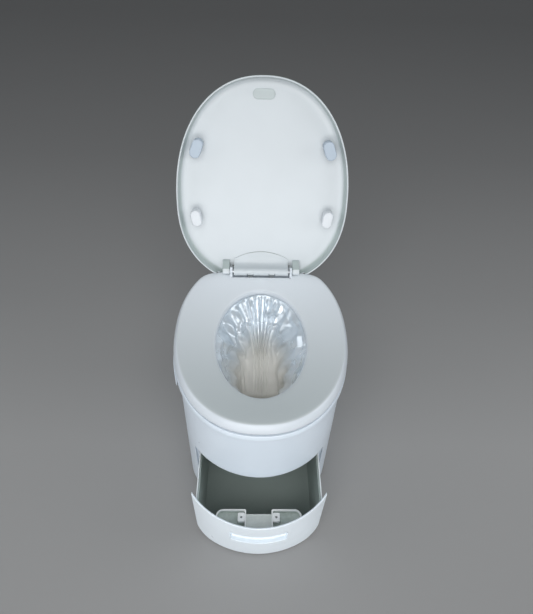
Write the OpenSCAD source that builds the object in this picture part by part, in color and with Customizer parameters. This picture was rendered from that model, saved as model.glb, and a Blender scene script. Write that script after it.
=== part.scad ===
// Waterless packing toilet, seen with its lid open and its drawer part of the way out.
// The floor is z = 0, the front faces -Y, and the origin lies under the seat's widest line.

/* [Seat] */
// Height of the seat's top above the floor
seat_h = 460; // [440:1:480]
// Half width of the seat's top face
seat_half_w = 190; // [180:1:195]
// Reach of the seat ahead of its widest line
seat_front = 263; // [250:1:275]
// Reach of the seat's oval behind its widest line
seat_rear = 248; // [240:1:260]
// How square the seat and lid ovals are, 2 is an ellipse
squareness = 2.2; // [2:0.05:2.4]
// Height of the seat's outer side
seat_side_h = 26; // [24:1:30]
// How far the seat's side flares out towards its bottom
seat_flare = 8; // [5:0.5:9]
// Thickness of the seat's plate at the hole
seat_plate_t = 11; // [9:0.5:13]
// Half width of the hole
hole_half_w = 101; // [95:1:105]
// Half length of the hole
hole_half_l = 157; // [150:1:160]
// Place of the hole's centre ahead of the widest line
hole_shift = 38; // [34:1:42]
// Height of the buffers between the seat and the deck
seat_gap = 4; // [3:0.5:6]

/* [Lid] */
// Reach of the lid's oval behind its widest line
lid_rear = 201; // [198:1:206]
// How square the rear half of the lid's oval is
lid_rear_square = 2.3; // [2.2:0.05:2.4]
// Angle from closed to open
lid_open = 108.3; // [100:0.1:112]
// How far the lid's rim stands outside the seat's bottom edge
lid_overhang = 3.5; // [2:0.5:6]
// Height of the closed lid's dish
lid_depth = 31.5; // [28:0.5:36]
// Wall of the lid
lid_wall = 3.5; // [2.5:0.5:4.5]
// Air between the closed lid's rim and the seat
lid_air = 3.5; // [2:0.5:5]
// Height of the arched cut-out above the hinge axis
arch_h = 49; // [44:1:54]
// Half width of the hinge barrel
barrel_half_w = 68; // [60:1:68]

/* [Hinge] */
// Distance of the hinge axis behind the widest line
hinge_y = 180; // [176:1:182]
// Height of the hinge axis above the seat's top
hinge_rise = 8; // [8:0.5:10]
// Radius of the hinge pin
pin_r = 4; // [3:0.5:4.5]
// Radius of the hinge barrel
barrel_r = 10; // [9.5:0.25:10.5]
// Radius of the eyes round the pin
eye_r = 7.4; // [7:0.1:7.5]

/* [Body] */
// How far the body's sides stand inside the seat's
body_inset = 10; // [7:1:14]
// Reach of the body's front at the floor
foot_front = 216; // [205:1:225]
// Reach of the body's front at the top of the drawer
waist_front = 251; // [246:1:256]
// Reach of the body's front under the collar
neck_front = 266; // [262:1:267]
// Reach of the body's back
body_back = 240; // [232:1:242]
// Wall of the body
body_wall = 4; // [3:0.5:5]
// Height of the collar's skirt
collar_h = 15; // [12:1:20]
// Thickness of the deck
deck_t = 4; // [3:0.5:5]
// Height of the rubber feet
foot_h = 4; // [3:0.5:8]
// Thickness of the base plate
base_t = 4; // [3:0.5:6]

/* [Drawer] */
// How far the drawer is pulled out
drawer_out = 117; // [60:1:150]
// Height of the top edge of the drawer opening
opening_top = 229; // [222:1:234]
// Half width of the drawer opening
opening_half_w = 151; // [146:0.5:154]
// Gap round the drawer front
front_gap = 1.5; // [1:0.1:2.5]
// Half width of the drawer frame
frame_half_w = 140.5; // [134:0.5:141]
// Height of the frame's side walls above the floor
frame_top = 212; // [190:1:214]
// Wall of the drawer frame
frame_wall = 2.5; // [2:0.1:3]
// Wall of the waste bin
bin_wall = 2.5; // [2:0.1:3]
// Height of the grip's ledge above the floor
grip_ledge_z = 107; // [95:1:115]
// Height of the grip's scoop
grip_h = 58; // [50:1:60]
// Half width of the grip
grip_half_w = 68; // [60:1:70]
// Depth of the grip at its ledge
grip_depth = 13; // [10:0.5:14]

/* [Film] */
// Wall of the inner bowl
bowl_wall = 2.5; // [2:0.1:3.5]
// Wall of the film cassette
cassette_wall = 2; // [1.5:0.1:2.5]
// Thickness of the gathered film as it hangs
film_t = 0.9; // [0.7:0.05:1]
// Number of main folds
fold_count = 13; // [9:1:17]

/* [Mechanism] */
// Place of the rollers' nip ahead of the widest line
nip_shift = 85; // [82:1:88]
// Radius of the pinch rollers
roller_r = 14; // [12:0.5:14]
// Gap between the rollers
roller_gap = 3; // [2.6:0.1:4]
// Half length of the rollers
roller_half_l = 90; // [80:1:92]
// Radius of the roller shafts
shaft_r = 5; // [4:0.5:5]
// How far the roller axes lie above the drawer opening
roller_rise = 39; // [37:1:42]
// Module of the drive teeth
drive_module = 2; // [1.8:0.1:2]
// Teeth of the drive pinion
pinion_teeth = 16; // [14:1:18]
// Travel of the packing lever
lever_travel = 35; // [25:1:36]
// How far the lever's shaft lies under the collar's skirt
lever_below = 15; // [14:1:20]
// Length of the lever ahead of its shaft
lever_reach = 118; // [105:1:120]
// Thickness of the lever
lever_t = 7; // [6:0.5:8]

/* [Hidden] */

// Points round each oval, and samples along smaller curves
ring_n = 72;
film_ring_n = 78;
// Clearances: running shafts, pieces that only lie near each other, moving neighbours
run = 0.06;
near = 0.3;
clear = 1;

// Levels of the seat, deck and lid
seat_bottom = seat_h - seat_side_h;
deck_top = seat_bottom - seat_gap;
deck_under = deck_top - deck_t;
skirt_bottom = deck_top - collar_h;
collar_out = seat_flare + 1;
hinge_z = seat_h + hinge_rise;
rim_z = seat_h + lid_air;
lid_top = rim_z + lid_depth;
lid_out = seat_flare + lid_overhang;
plate_t = 2.5;

// Pads inside the lid: how far they stand in from its side, and their half length, radius and turn
pad_foot_z = seat_h + 0.4;
front_pad_x = seat_half_w - 38.5;
front_pad_y = 144 - seat_front;
rear_pad_x = seat_half_w - 32;
rear_pad_y = hinge_y - 136;
boss_pad_y = 31 - seat_front;

// Hinge line, outward from the middle: barrel, seat ear, lid lug
ear_in = barrel_half_w + 3.3;
ear_w = 6.4;
lug_in = ear_in + ear_w + 0.8;
lug_w = 18.5;
pin_half_l = lug_in + lug_w - 1;
post_x = 27;
post_w = 13;
post_slot_w = post_w + 3;
seat_cut_y = hinge_y + 7;
notch_y = hinge_y - 10.5;
ear_slot_w = 22;

// Body plan: a half ellipse ahead of front_y, straight sides, an oval behind side_end_y
front_y = -85;
side_end_y = 60;
front_exp = 1.92;
back_exp = 2.3;
body_bottom = foot_h + base_t;

roller_z = opening_top + roller_rise;
body_half_w = seat_half_w - body_inset;

// Drawer levels
rail_h = 4;
rail_w = 12;
rail_l = 316;
frame_z = body_bottom + rail_h + near;
bin_z = frame_z + frame_wall + near;
bin_top = frame_top - 7;
front_half_w = opening_half_w - front_gap;
front_top = opening_top - 2;
drawer_back = 150;
bin_front_gap = 18;

// Bracket behind the drawer front, at its place in the closed drawer
bracket_z = 140;
bracket_t = 3;
bracket_rim_h = 16;
bracket_rear = -173;
bracket_half_w = 98;
pocket_in = 29;
plate_rear = -183;
boss_x = 40;
boss_y = -192.5;
boss_w = 16;
boss_l = 21;
boss_h = 18;
screw_r = 2.5;

// Cassette and bowl ovals grow outwards from the film's inner edge
film_edge = 3.3;
cassette_in = film_edge + 1.7;
cassette_out = cassette_in + 16;
deck_hole = cassette_out + 1;
flange_out = deck_hole + 6;
cassette_z = deck_top - 36;
cassette_top = seat_h - seat_plate_t - 7;
bowl_neck_z = cassette_z - 6;
throat_z = roller_z + roller_r + 10;
throat_half_w = 58;
throat_half_l = 20;
shelf_z = opening_top + 3;
shelf_t = 4;
shelf_hole_half = 95;
ledge_h = 10;

// Roller train
front_roller_y = -nip_shift - roller_r - roller_gap / 2;
rear_roller_y = -nip_shift + roller_r + roller_gap / 2;
roller_step = rear_roller_y - front_roller_y;
roller_teeth = 15;
roller_module = roller_step / roller_teeth;
pressure = 25;
backlash = 0.5;
lever_z = skirt_bottom - lever_below;
lever_drop = lever_z - roller_z;
pinion_pitch = drive_module * pinion_teeth / 2;
// The sector's full wheel has the whole number of teeth that puts the lever's shaft nearest y = 0
sector_teeth = round(2 * (norm([lever_drop, front_roller_y]) - pinion_pitch) / drive_module);
sector_pitch = drive_module * sector_teeth / 2;
lever_y = front_roller_y + sqrt(pow(sector_pitch + pinion_pitch, 2) - pow(lever_drop, 2));
mesh_angle = atan2(-lever_drop, front_roller_y - lever_y);
gear_t = 8;
gear_x = 106;
side_x = 100;
side_t = 4;
bush_r = 7.5;
sector_x = -body_half_w + 30;
sector_t = 6;
arm_x = 94;
arm_t = 3.6;
pivot_y = rear_roller_y + 6.5;
pivot_z = 308;
pivot_r = 4;
spring_x = 107;
bush_wall_r = 9;
lever_shaft_r = 6;
lever_stand = collar_out + 2;
lever_outer_x = -seat_half_w - lever_stand;
lever_half_h = 9;
lever_hub_r = 10;
sector_hub_r = 15;

pi_deg = 180 / PI;

// An oval with half width a, front reach f, rear reach r and exponent n, centred on y = yc
function oval(a, f, r, n, yc = 0, count = ring_n) = [for (i = [0 : count - 1])
    let (t = 360 * i / count, c = cos(t), s = sin(t))
    [a * sign(c) * pow(abs(c), 2 / n), yc + (s < 0 ? -f : r) * pow(abs(s), 2 / n)]];

// The seat's oval grown by d
function seat_oval(d, count = ring_n) =
    oval(seat_half_w + d, seat_front + d, seat_rear + d, squareness, 0, count);

// The lid's outline grown by d: ahead as the seat's, rounder behind
function lid_oval(d) = [for (i = [0 : ring_n - 1])
    let (t = 360 * i / ring_n, c = cos(t), s = sin(t), n = s < 0 ? squareness : lid_rear_square)
    [(seat_half_w + d) * sign(c) * pow(abs(c), 2 / n),
        (s < 0 ? -seat_front - d : lid_rear + d) * pow(abs(s), 2 / n)]];

// The hole's oval grown by d
function hole_oval(d, count = ring_n) =
    oval(hole_half_w + d, hole_half_l + d, hole_half_l + d, 2, -hole_shift, count);

// Reach of the body's front at height z
function body_front(z) = z < opening_top
    ? foot_front + (waist_front - foot_front) * z / opening_top
    : waist_front + (neck_front - waist_front) * (z - opening_top) / (deck_under - opening_top);

// The body's outline at height z, inset by d
function body_oval(z, d) = [for (i = [0 : ring_n - 1])
    let (t = 360 * i / ring_n, c = cos(t), s = sin(t), n = s < 0 ? front_exp : back_exp)
    [(body_half_w - d) * sign(c) * pow(abs(c), 2 / n),
        s < 0 ? front_y - (body_front(z) + front_y - d) * pow(-s, 2 / n)
            : side_end_y + (body_back - side_end_y - d) * pow(s, 2 / n)]];

// Front face of the body at (x, z), inset by d
function face_y(x, z, d) = front_y - (body_front(z) + front_y - d)
    * pow(1 - pow(min(1, abs(x) / (body_half_w - d)), front_exp), 1 / front_exp);

function at_z(points, z) = [for (p = points) [p[0], p[1], z]];

function mix(a, b, t) = a + (b - a) * t;

// A closed solid through a list of rings with the same number of points
module loft(rings, ring_loop = false) {
    count = len(rings[0]);
    last = len(rings) - 1;
    points = [for (ring = rings, p = ring) p];
    walls = [for (k = [0 : ring_loop ? last : last - 1], i = [0 : count - 1])
        let (j = (i + 1) % count, m = (k + 1) % (last + 1))
        each [[k * count + i, m * count + i, m * count + j],
            [k * count + i, m * count + j, k * count + j]]];
    caps = ring_loop ? [] : [[for (i = [0 : count - 1]) i],
        [for (i = [count - 1 : -1 : 0]) last * count + i]];
    polyhedron(points, concat(walls, caps));
}

// A straight wall that follows an oval
module band(outer, inner, z0, z1) {
    translate([0, 0, z0]) linear_extrude(z1 - z0) difference() {
        polygon(outer);
        polygon(inner);
    }
}

module rod(r, x0, x1, y, z) {
    translate([x0, y, z]) rotate([0, 90, 0]) cylinder(h = x1 - x0, r = r, $fn = 48);
}

// A plate from x0 to x1 with an outline in the y-z plane
module slab(x0, x1, outline) {
    translate([x0, 0, 0]) rotate([90, 0, 90]) linear_extrude(x1 - x0) polygon(outline);
}

module both_sides() {
    children();
    mirror([1, 0, 0]) children();
}

module lid_pose() {
    translate([0, hinge_y, hinge_z]) rotate([-lid_open, 0, 0]) translate([0, -hinge_y, -hinge_z])
        children();
}

module drawer_pose() {
    translate([0, -drawer_out, 0]) children();
}

// Involute flank: half the tooth's angle at radius r
function involute(a) = tan(a) * pi_deg - a;
function half_tooth(m, teeth, r) =
    let (base = m * teeth / 2 * cos(pressure))
    90 / teeth - backlash / m / teeth * pi_deg / 2 + involute(pressure)
        - involute(acos(min(1, base / max(r, base))));

// Outline of the teeth from number first to last, the first one centred on angle turn
function tooth_points(m, teeth, first, last, turn) =
    let (pitch = m * teeth / 2,
        radii = [for (k = [0 : 4]) pitch + m * (-1.2 + 2.1 * k / 4)])
    [for (k = [first : last]) let (mid = turn + 360 * k / teeth)
        each concat(
            [for (r = radii) let (a = mid - half_tooth(m, teeth, r)) [r * cos(a), r * sin(a)]],
            [for (j = [4 : -1 : 0]) let (r = radii[j], a = mid + half_tooth(m, teeth, r))
                [r * cos(a), r * sin(a)]])];

// A spur wheel on the roller at y, from x0, with one tooth centred on angle turn
module wheel(m, teeth, turn, x0, y) {
    difference() {
        translate([x0, y, roller_z]) rotate([90, 0, 90])
            linear_extrude(gear_t) polygon(tooth_points(m, teeth, 0, teeth - 1, turn));
        rod(shaft_r, x0 - 1, x0 + gear_t + 1, y, roller_z);
    }
}

module body_shell() {
    outer_z = [body_bottom, 80, 150, opening_top, 300, 365, deck_under];
    color("white") {
        difference() {
            loft(concat([for (z = outer_z) at_z(body_oval(z, 0), z)],
                [for (k = [len(outer_z) - 1 : -1 : 0])
                    at_z(body_oval(outer_z[k], body_wall), outer_z[k])]), true);
            translate([-opening_half_w, front_y - 200, 0])
                cube([2 * opening_half_w, 200, opening_top]);
            rod(bush_wall_r, -body_half_w - 5, -body_half_w + 10, lever_y, lever_z);
        }
        both_sides() drawer_jamb();
        both_sides() for (y = [-70, 80]) shelf_ledge(y);
    }
}

// Stop behind the end of the drawer front
module drawer_jamb() {
    low = face_y(opening_half_w - 1, body_bottom, body_wall) + 2;
    high = face_y(opening_half_w - 1, opening_top, body_wall) + 2;
    slab(frame_half_w + 1.5, opening_half_w + 3,
        [[high, opening_top], [high + 4, opening_top], [low + 4, body_bottom], [low, body_bottom]]);
}

module shelf_ledge(y) {
    translate([body_half_w - 22, y - 10, shelf_z - ledge_h]) cube([22 - body_wall / 2, 20, ledge_h]);
}

module top_deck() {
    edge = 2;
    color("white") loft([
        at_z(seat_oval(collar_out), skirt_bottom),
        at_z(seat_oval(collar_out), deck_top - edge),
        at_z(seat_oval(collar_out - edge), deck_top),
        at_z(hole_oval(deck_hole), deck_top),
        at_z(hole_oval(deck_hole), deck_under),
        at_z(seat_oval(collar_out - 3.5), deck_under),
        at_z(seat_oval(collar_out - 3.5), skirt_bottom)], true);
}

module base_plate() {
    color("gainsboro") translate([0, 0, foot_h]) linear_extrude(base_t) difference() {
        polygon(body_oval(body_bottom, 0));
        intersection() {
            difference() {
                polygon(body_oval(0, -2));
                polygon(body_oval(0, body_wall + 1.5));
            }
            translate([-opening_half_w, front_y - 200]) square([2 * opening_half_w, 200]);
        }
    }
}

module floor_feet() {
    color("dimgray") {
        cylinder(h = foot_h, r = 20);
        both_sides() for (y = [91 - foot_front, body_back - 75])
            translate([frame_half_w - 15.5, y, 0]) cylinder(h = foot_h, r = 12);
    }
}

module shelf() {
    color("gainsboro") translate([0, 0, shelf_z]) linear_extrude(shelf_t) difference() {
        polygon(body_oval(shelf_z, body_wall + near));
        translate([-shelf_hole_half, -nip_shift - 28]) square([2 * shelf_hole_half, 56]);
    }
}

// The bowl hangs from the deck and narrows to the throat above the rollers
module inner_bowl() {
    function down(t) = mix(bowl_neck_z, throat_z, t);
    // Each level: height, share of the way to the throat in place, length and width
    levels = [[deck_under, 0, 0, 0], [bowl_neck_z, 0, 0, 0], [down(0.26), 0.34, 0.35, 0.34],
        [down(0.57), 0.72, 0.67, 0.8], [down(0.83), 0.96, 0.93, 0.97], [throat_z, 1, 1, 1]];
    function bowl_ring(k, wall) = let (
        l = mix(hole_half_l + deck_hole + 2, throat_half_l, levels[k][2]) + wall,
        w = mix(hole_half_w + deck_hole + 2, throat_half_w, levels[k][3]) + wall)
        at_z(oval(w, l, l, 2, -mix(hole_shift, nip_shift, levels[k][1])), levels[k][0]);
    color("lightgray") loft(concat([for (k = [5 : -1 : 0]) bowl_ring(k, bowl_wall)],
        [for (k = [0 : 5]) bowl_ring(k, 0)]), true);
}

module film_cassette() {
    color("gray") {
        band(hole_oval(cassette_out), hole_oval(cassette_in), cassette_z, cassette_z + cassette_wall);
        band(hole_oval(cassette_in + cassette_wall), hole_oval(cassette_in),
            cassette_z + cassette_wall, cassette_top);
        band(hole_oval(cassette_out), hole_oval(cassette_out - cassette_wall),
            cassette_z + cassette_wall, deck_top);
        band(hole_oval(flange_out), hole_oval(cassette_out - cassette_wall), deck_top, deck_top + 2);
    }
}

module film_pack() {
    color("silver") band(hole_oval(cassette_out - cassette_wall - near),
        hole_oval(cassette_in + cassette_wall + near),
        cassette_z + cassette_wall + near, deck_top - 3);
}

// Film: over the cassette's inner wall, down the bowl in folds, flat between the rollers
module liner_film() {
    top = cassette_top + near;
    tail_z = roller_z - 22;
    pinch_z = roller_z + 4;
    function down(t) = mix(top, throat_z + 8, t);
    // Each level: height, share of the way to the nip in place, length and width, depth of the folds
    levels = [[down(0.056), 0, 0, 0, 0.006], [down(0.316), 0.3, 0.18, 0.34, 0.022],
        [down(0.597), 0.42, 0.43, 0.88, 0.04], [down(0.822), 0.76, 0.73, 0.98, 0.05],
        [down(1), 1, 0.93, 1, 0.04]];
    function wave(t) = let (u = t * fold_count / 360, v = u - floor(u + 0.25 * sin(2 * t)))
        abs(2 * v - 1) + 0.35 * sin(2.3 * fold_count * t / 2);
    function film_ring(level, skin) = [for (i = [0 : film_ring_n - 1])
        let (t = 360 * i / film_ring_n,
            l = mix(hole_half_l + film_edge, 3.6, level[2]) - skin,
            w = mix(hole_half_w + film_edge, throat_half_w - 6, level[3]) - skin,
            k = 1 - level[4] * wave(t))
        [w * k * cos(t), l * k * sin(t) - mix(hole_shift, nip_shift, level[1]), level[0]]];
    function tail_ring(z, half_w) = [for (i = [0 : film_ring_n - 1]) let (t = 360 * i / film_ring_n)
        [half_w * cos(t), -nip_shift + film_t * sin(t), z]];
    color("lightsteelblue") loft(concat(
        [tail_ring(tail_z, throat_half_w - 9), tail_ring(pinch_z, throat_half_w - 8)],
        [for (k = [4 : -1 : 0]) film_ring(levels[k], 0)],
        [at_z(hole_oval(film_edge, film_ring_n), top),
            at_z(hole_oval(cassette_in + cassette_wall, film_ring_n), top),
            at_z(hole_oval(cassette_in + cassette_wall, film_ring_n), top + film_t),
            at_z(hole_oval(film_edge - film_t, film_ring_n), top + film_t)],
        [for (k = [0 : 3]) film_ring(levels[k], film_t)],
        [film_ring([throat_z + 14, 1, 0.93, 1, 0.04], film_t + 0.4)]));
}

// Posts rise from the deck behind the axis and end in eyes inside the barrel's slots
module hinge_posts() {
    back = hinge_y + 34;
    color("silver") both_sides() difference() {
        union() {
            rod(eye_r + 1, post_x - post_w / 2, post_x + post_w / 2, hinge_y, hinge_z);
            slab(post_x - post_w / 2, post_x + post_w / 2, [[hinge_y + 7, deck_top],
                [back, deck_top], [back, deck_top + 7], [hinge_y + 8, hinge_z - 2.4],
                [hinge_y - 2, hinge_z], [hinge_y + 7, hinge_z - 20]]);
        }
        rod(pin_r, 0, 100, hinge_y, hinge_z);
    }
}

module hinge_pin() {
    color("lightgray") rod(pin_r, -pin_half_l, pin_half_l, hinge_y, hinge_z);
}

module drawer_rails() {
    color("silver") both_sides() translate([frame_half_w - rail_w - 3, -140, body_bottom])
        cube([rail_w, rail_l, rail_h]);
}

module side_plates() {
    front = front_roller_y - 38;
    color("silver") both_sides() difference() {
        slab(side_x, side_x + side_t, [[front, shelf_z + shelf_t],
            [rear_roller_y - 10, shelf_z + shelf_t], [rear_roller_y - 10, pivot_z - 12],
            [pivot_y + 12, pivot_z - 12], [pivot_y + 12, pivot_z + 12], [front, pivot_z + 12]]);
        rod(bush_r, side_x - 1, side_x + side_t + 1, front_roller_y, roller_z);
        rod(pivot_r, side_x - 1, side_x + side_t + 1, pivot_y, pivot_z);
    }
}

module bush(x, y) {
    difference() {
        rod(bush_r, x, x + side_t, y, roller_z);
        rod(shaft_r + run, x - 1, x + side_t + 1, y, roller_z);
    }
}

module front_bushes() {
    color("goldenrod") both_sides() bush(side_x, front_roller_y);
}

module pivot_pins() {
    color("lightgray") both_sides()
        rod(pivot_r, arm_x - 2, spring_x + 12, pivot_y, pivot_z);
}

module arm_springs() {
    color("gray") both_sides() difference() {
        rod(pivot_r + 2.5, side_x + side_t, spring_x + 8, pivot_y, pivot_z);
        rod(pivot_r, side_x, spring_x + 9, pivot_y, pivot_z);
    }
}

module lever_bush() {
    inner_x = -body_half_w + body_wall;
    color("goldenrod") difference() {
        union() {
            rod(bush_wall_r, -body_half_w - 1, inner_x + 16, lever_y, lever_z);
            rod(bush_wall_r + 4, inner_x + 2 * near, inner_x + 4, lever_y, lever_z);
        }
        rod(lever_shaft_r + run, -body_half_w - 2, inner_x + 17, lever_y, lever_z);
    }
}

module return_spring() {
    color("gray") difference() {
        rod(lever_shaft_r + 3, -body_half_w + body_wall + 16, sector_x - near, lever_y, lever_z);
        rod(lever_shaft_r + near, -body_half_w, sector_x + 1, lever_y, lever_z);
    }
}

// Levels of the closed lid: height above the rim and inset from its outline
lid_outside = [[0, 0], [8, 0.6], [16, 3.5], [23, 9], [28, 17], [lid_depth - 1, 28], [lid_depth, 42]];
lid_inside = [[-1, lid_wall], [8, lid_wall + 1], [15, lid_wall + 4], [21, lid_wall + 10],
    [25, lid_wall + 18], [lid_depth - lid_wall, lid_wall + 30]];

module lid_hollow() {
    loft([for (level = lid_inside) at_z(lid_oval(lid_out - level[1]), rim_z + level[0])]);
}

// Outline of the arch in plan, grown by d
function arch(half_w, top, shoulder, d) = [for (k = [-12 : 12]) let (x = (half_w + d) * k / 12)
    [x, hinge_y - shoulder - d - (top - shoulder) * (1 - pow(x / (half_w + d), 2))]];

module lid_shell() {
    color("white") lid_pose() difference() {
        loft([for (level = lid_outside) at_z(lid_oval(lid_out - level[1]), rim_z + level[0])]);
        lid_hollow();
        translate([-2 * seat_half_w, hinge_y - 2, rim_z - 10]) cube([4 * seat_half_w, seat_rear, 100]);
        lid_cut_out();
    }
}

// Arched opening round the hinge barrel and the ears
module lid_cut_out() {
    translate([0, 0, rim_z - 10]) linear_extrude(100) union() {
        polygon(concat(arch(barrel_half_w, arch_h, 26, clear + 1),
            [[barrel_half_w + 2, hinge_y + 50], [-barrel_half_w - 2, hinge_y + 50]]));
        translate([-lug_in, hinge_y - ear_slot_w]) square([2 * lug_in, 100]);
    }
}

// Two lugs stand on the lid's inside and turn on the ends of the pin
module lid_lugs() {
    reach = rim_z + lid_depth - lid_wall - hinge_z;
    r = eye_r - 0.5;
    color("white") lid_pose() both_sides() difference() {
        union() {
            rod(r, lug_in, lug_in + lug_w, hinge_y, hinge_z);
            intersection() {
                slab(lug_in, lug_in + lug_w, [[hinge_y + 4, hinge_z], [hinge_y + 4, hinge_z + reach],
                    [hinge_y - 25, hinge_z + reach], [hinge_y - 21, hinge_z + 10],
                    [hinge_y - 5, hinge_z - 4.7], [hinge_y, hinge_z - r + 0.1]]);
                lid_hollow();
            }
        }
        rod(pin_r + run, lug_in - 1, lug_in + lug_w + 1, hinge_y, hinge_z);
    }
}

// Barrel round the pin with the leaf that fills the lid's cut-out
module hinge_bridge() {
    leaf_z = lid_top - lid_wall - 1;
    slot = post_slot_w / 2;
    color("white") lid_pose() difference() {
        union() {
            rod(barrel_r, -barrel_half_w, barrel_half_w, hinge_y, hinge_z);
            slab(-barrel_half_w, barrel_half_w, [[hinge_y, hinge_z + barrel_r], [hinge_y - 3, lid_top],
                [hinge_y - 22, lid_top], [hinge_y - 22, leaf_z], [hinge_y - 12, leaf_z - 4],
                [hinge_y - 9, hinge_z + 4], [hinge_y - 5, hinge_z]]);
            translate([0, 0, leaf_z]) linear_extrude(lid_top - leaf_z)
                polygon(concat(arch(barrel_half_w, arch_h, 26, 0),
                    [[barrel_half_w, hinge_y - 3], [-barrel_half_w, hinge_y - 3]]));
            translate([0, 0, lid_top]) linear_extrude(plate_t)
                polygon(concat(arch(barrel_half_w, arch_h, 26, 7),
                    [[barrel_half_w + 7, hinge_y - ear_slot_w], [barrel_half_w, hinge_y - ear_slot_w],
                        [barrel_half_w, hinge_y - 3], [-barrel_half_w, hinge_y - 3],
                        [-barrel_half_w, hinge_y - ear_slot_w],
                        [-barrel_half_w - 7, hinge_y - ear_slot_w]]));
        }
        rod(pin_r + run, -200, 200, hinge_y, hinge_z);
        both_sides() {
            rod(eye_r + 1.5, post_x - slot, post_x + slot, hinge_y, hinge_z);
            translate([post_x - slot, hinge_y - 1, hinge_z - 20]) cube([2 * slot, 40, 31]);
        }
    }
}

// An oblong pad that stands on the inside of the lid
module lid_pad(x, y, half_l, r, turn, foot) {
    intersection() {
        translate([x, y, foot]) rotate([0, 0, turn]) linear_extrude(lid_top - foot) union() {
            for (s = [-1, 1]) translate([0, s * (half_l - r)]) circle(r = r, $fn = 32);
            translate([-r, r - half_l]) square([2 * r, 2 * (half_l - r)]);
        }
        lid_hollow();
    }
}

module lid_front_bumpers() {
    color("lightslategray") lid_pose() both_sides()
        lid_pad(front_pad_x, front_pad_y, 20, 11, -8, pad_foot_z);
}

module lid_rear_bumpers() {
    color("whitesmoke") lid_pose() both_sides()
        lid_pad(rear_pad_x, rear_pad_y, 19, 10.5, 8, pad_foot_z);
}

module lid_boss() {
    color("gainsboro") lid_pose() lid_pad(0, boss_pad_y, 26, 12, 90, lid_top - lid_wall - 1.6);
}

// The seat is a plate with an outer side wall, solid behind the hole where its ears stand
module seat_ring() {
    side_t = 5;
    plate_under = seat_h - seat_plate_t - 3;
    outer = seat_oval(0);
    function under(y) = min(plate_under, seat_bottom + max(0.5, (150 - y) * 0.8));
    // Blend between the seat's outline and the hole's outline
    function blend(t, drop) = [for (i = [0 : ring_n - 1]) let (o = seat_oval(-3)[i], h = hole_oval(4)[i])
        [mix(o[0], h[0], t), mix(o[1], h[1], t), seat_h - drop]];
    function below(ring) = [for (p = ring) [p[0], p[1], under(p[1])]];
    color("white") difference() {
        union() {
            difference() {
                loft([
                    at_z(seat_oval(seat_flare), seat_bottom),
                    at_z(seat_oval(seat_flare - 1), seat_bottom + 9),
                    at_z(seat_oval(seat_flare - 4), seat_bottom + 18),
                    at_z(seat_oval(1), seat_h - 2.5),
                    at_z(seat_oval(-3), seat_h),
                    blend(0.35, 1.4), blend(0.75, 2.6),
                    at_z(hole_oval(4), seat_h - 3),
                    at_z(hole_oval(1), seat_h - 4.5),
                    at_z(hole_oval(0), seat_h - 8),
                    at_z(hole_oval(1), plate_under),
                    below(seat_oval(seat_flare - side_t)),
                    at_z(seat_oval(seat_flare - side_t), seat_bottom)], true);
                translate([-2 * seat_half_w, seat_cut_y, seat_bottom - 1])
                    cube([4 * seat_half_w, seat_rear, seat_side_h + 2]);
                translate([-ear_in, notch_y, seat_bottom - 1])
                    cube([2 * ear_in, seat_rear, seat_side_h + 2]);
            }
            both_sides() seat_ear();
        }
        rod(pin_r + run, -200, 200, hinge_y, hinge_z);
    }
}

module seat_ear() {
    rod(eye_r, ear_in, ear_in + ear_w, hinge_y, hinge_z);
    slab(ear_in, ear_in + ear_w, [[notch_y - 4, seat_h - 4], [hinge_y - eye_r, hinge_z],
        [hinge_y + eye_r, hinge_z], [seat_cut_y, seat_h - 4], [seat_cut_y, seat_bottom + 3],
        [notch_y - 4, seat_bottom + 3]]);
}

module seat_buffers() {
    color("dimgray") both_sides() for (p = [[seat_half_w - 40, front_pad_y + 14], [seat_half_w - 30, rear_pad_y + 16]])
        translate([p[0], p[1], deck_top + near])
            cylinder(h = seat_h - seat_plate_t - 3 - deck_top - near, r = 7);
}

// Open box on the rails, without a front wall
module drawer_frame() {
    wall_h = frame_top - frame_z;
    color("white") drawer_pose() difference() {
        intersection() {
            translate([-frame_half_w, -300, frame_z]) cube([2 * frame_half_w, 300 + drawer_back, wall_h]);
            loft([for (z = [0, 60, 120, 180, opening_top])
                at_z(body_oval(z, body_wall + near), z)]);
        }
        translate([frame_wall - frame_half_w, -300, frame_z + frame_wall])
            cube([2 * (frame_half_w - frame_wall), 300 + drawer_back - frame_wall, 300]);
    }
}

// Curved panel with a window for the grip; its face is straight from bottom to top
module drawer_front() {
    cols = 28;
    heights = [foot_h, 60, 120, 180, front_top];
    function column(k) = front_half_w * (2 * k / cols - 1);
    function across(x) = concat(
        [for (z = heights) [x, face_y(x, z, body_wall), z]],
        [for (k = [len(heights) - 1 : -1 : 0]) [x, face_y(x, heights[k], 0), heights[k]]]);
    color("white") drawer_pose() difference() {
        loft([for (k = [0 : cols]) across(column(k))]);
        slab(-grip_half_w - 2.5 - near, grip_half_w + 2.5 + near,
            [[-400, grip_ledge_z - 2.5 - near], [-150, grip_ledge_z - 2.5 - near],
                [-150, grip_ledge_z + grip_h + 2.5 + near], [-400, grip_ledge_z + grip_h + 2.5 + near]]);
    }
}

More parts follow.
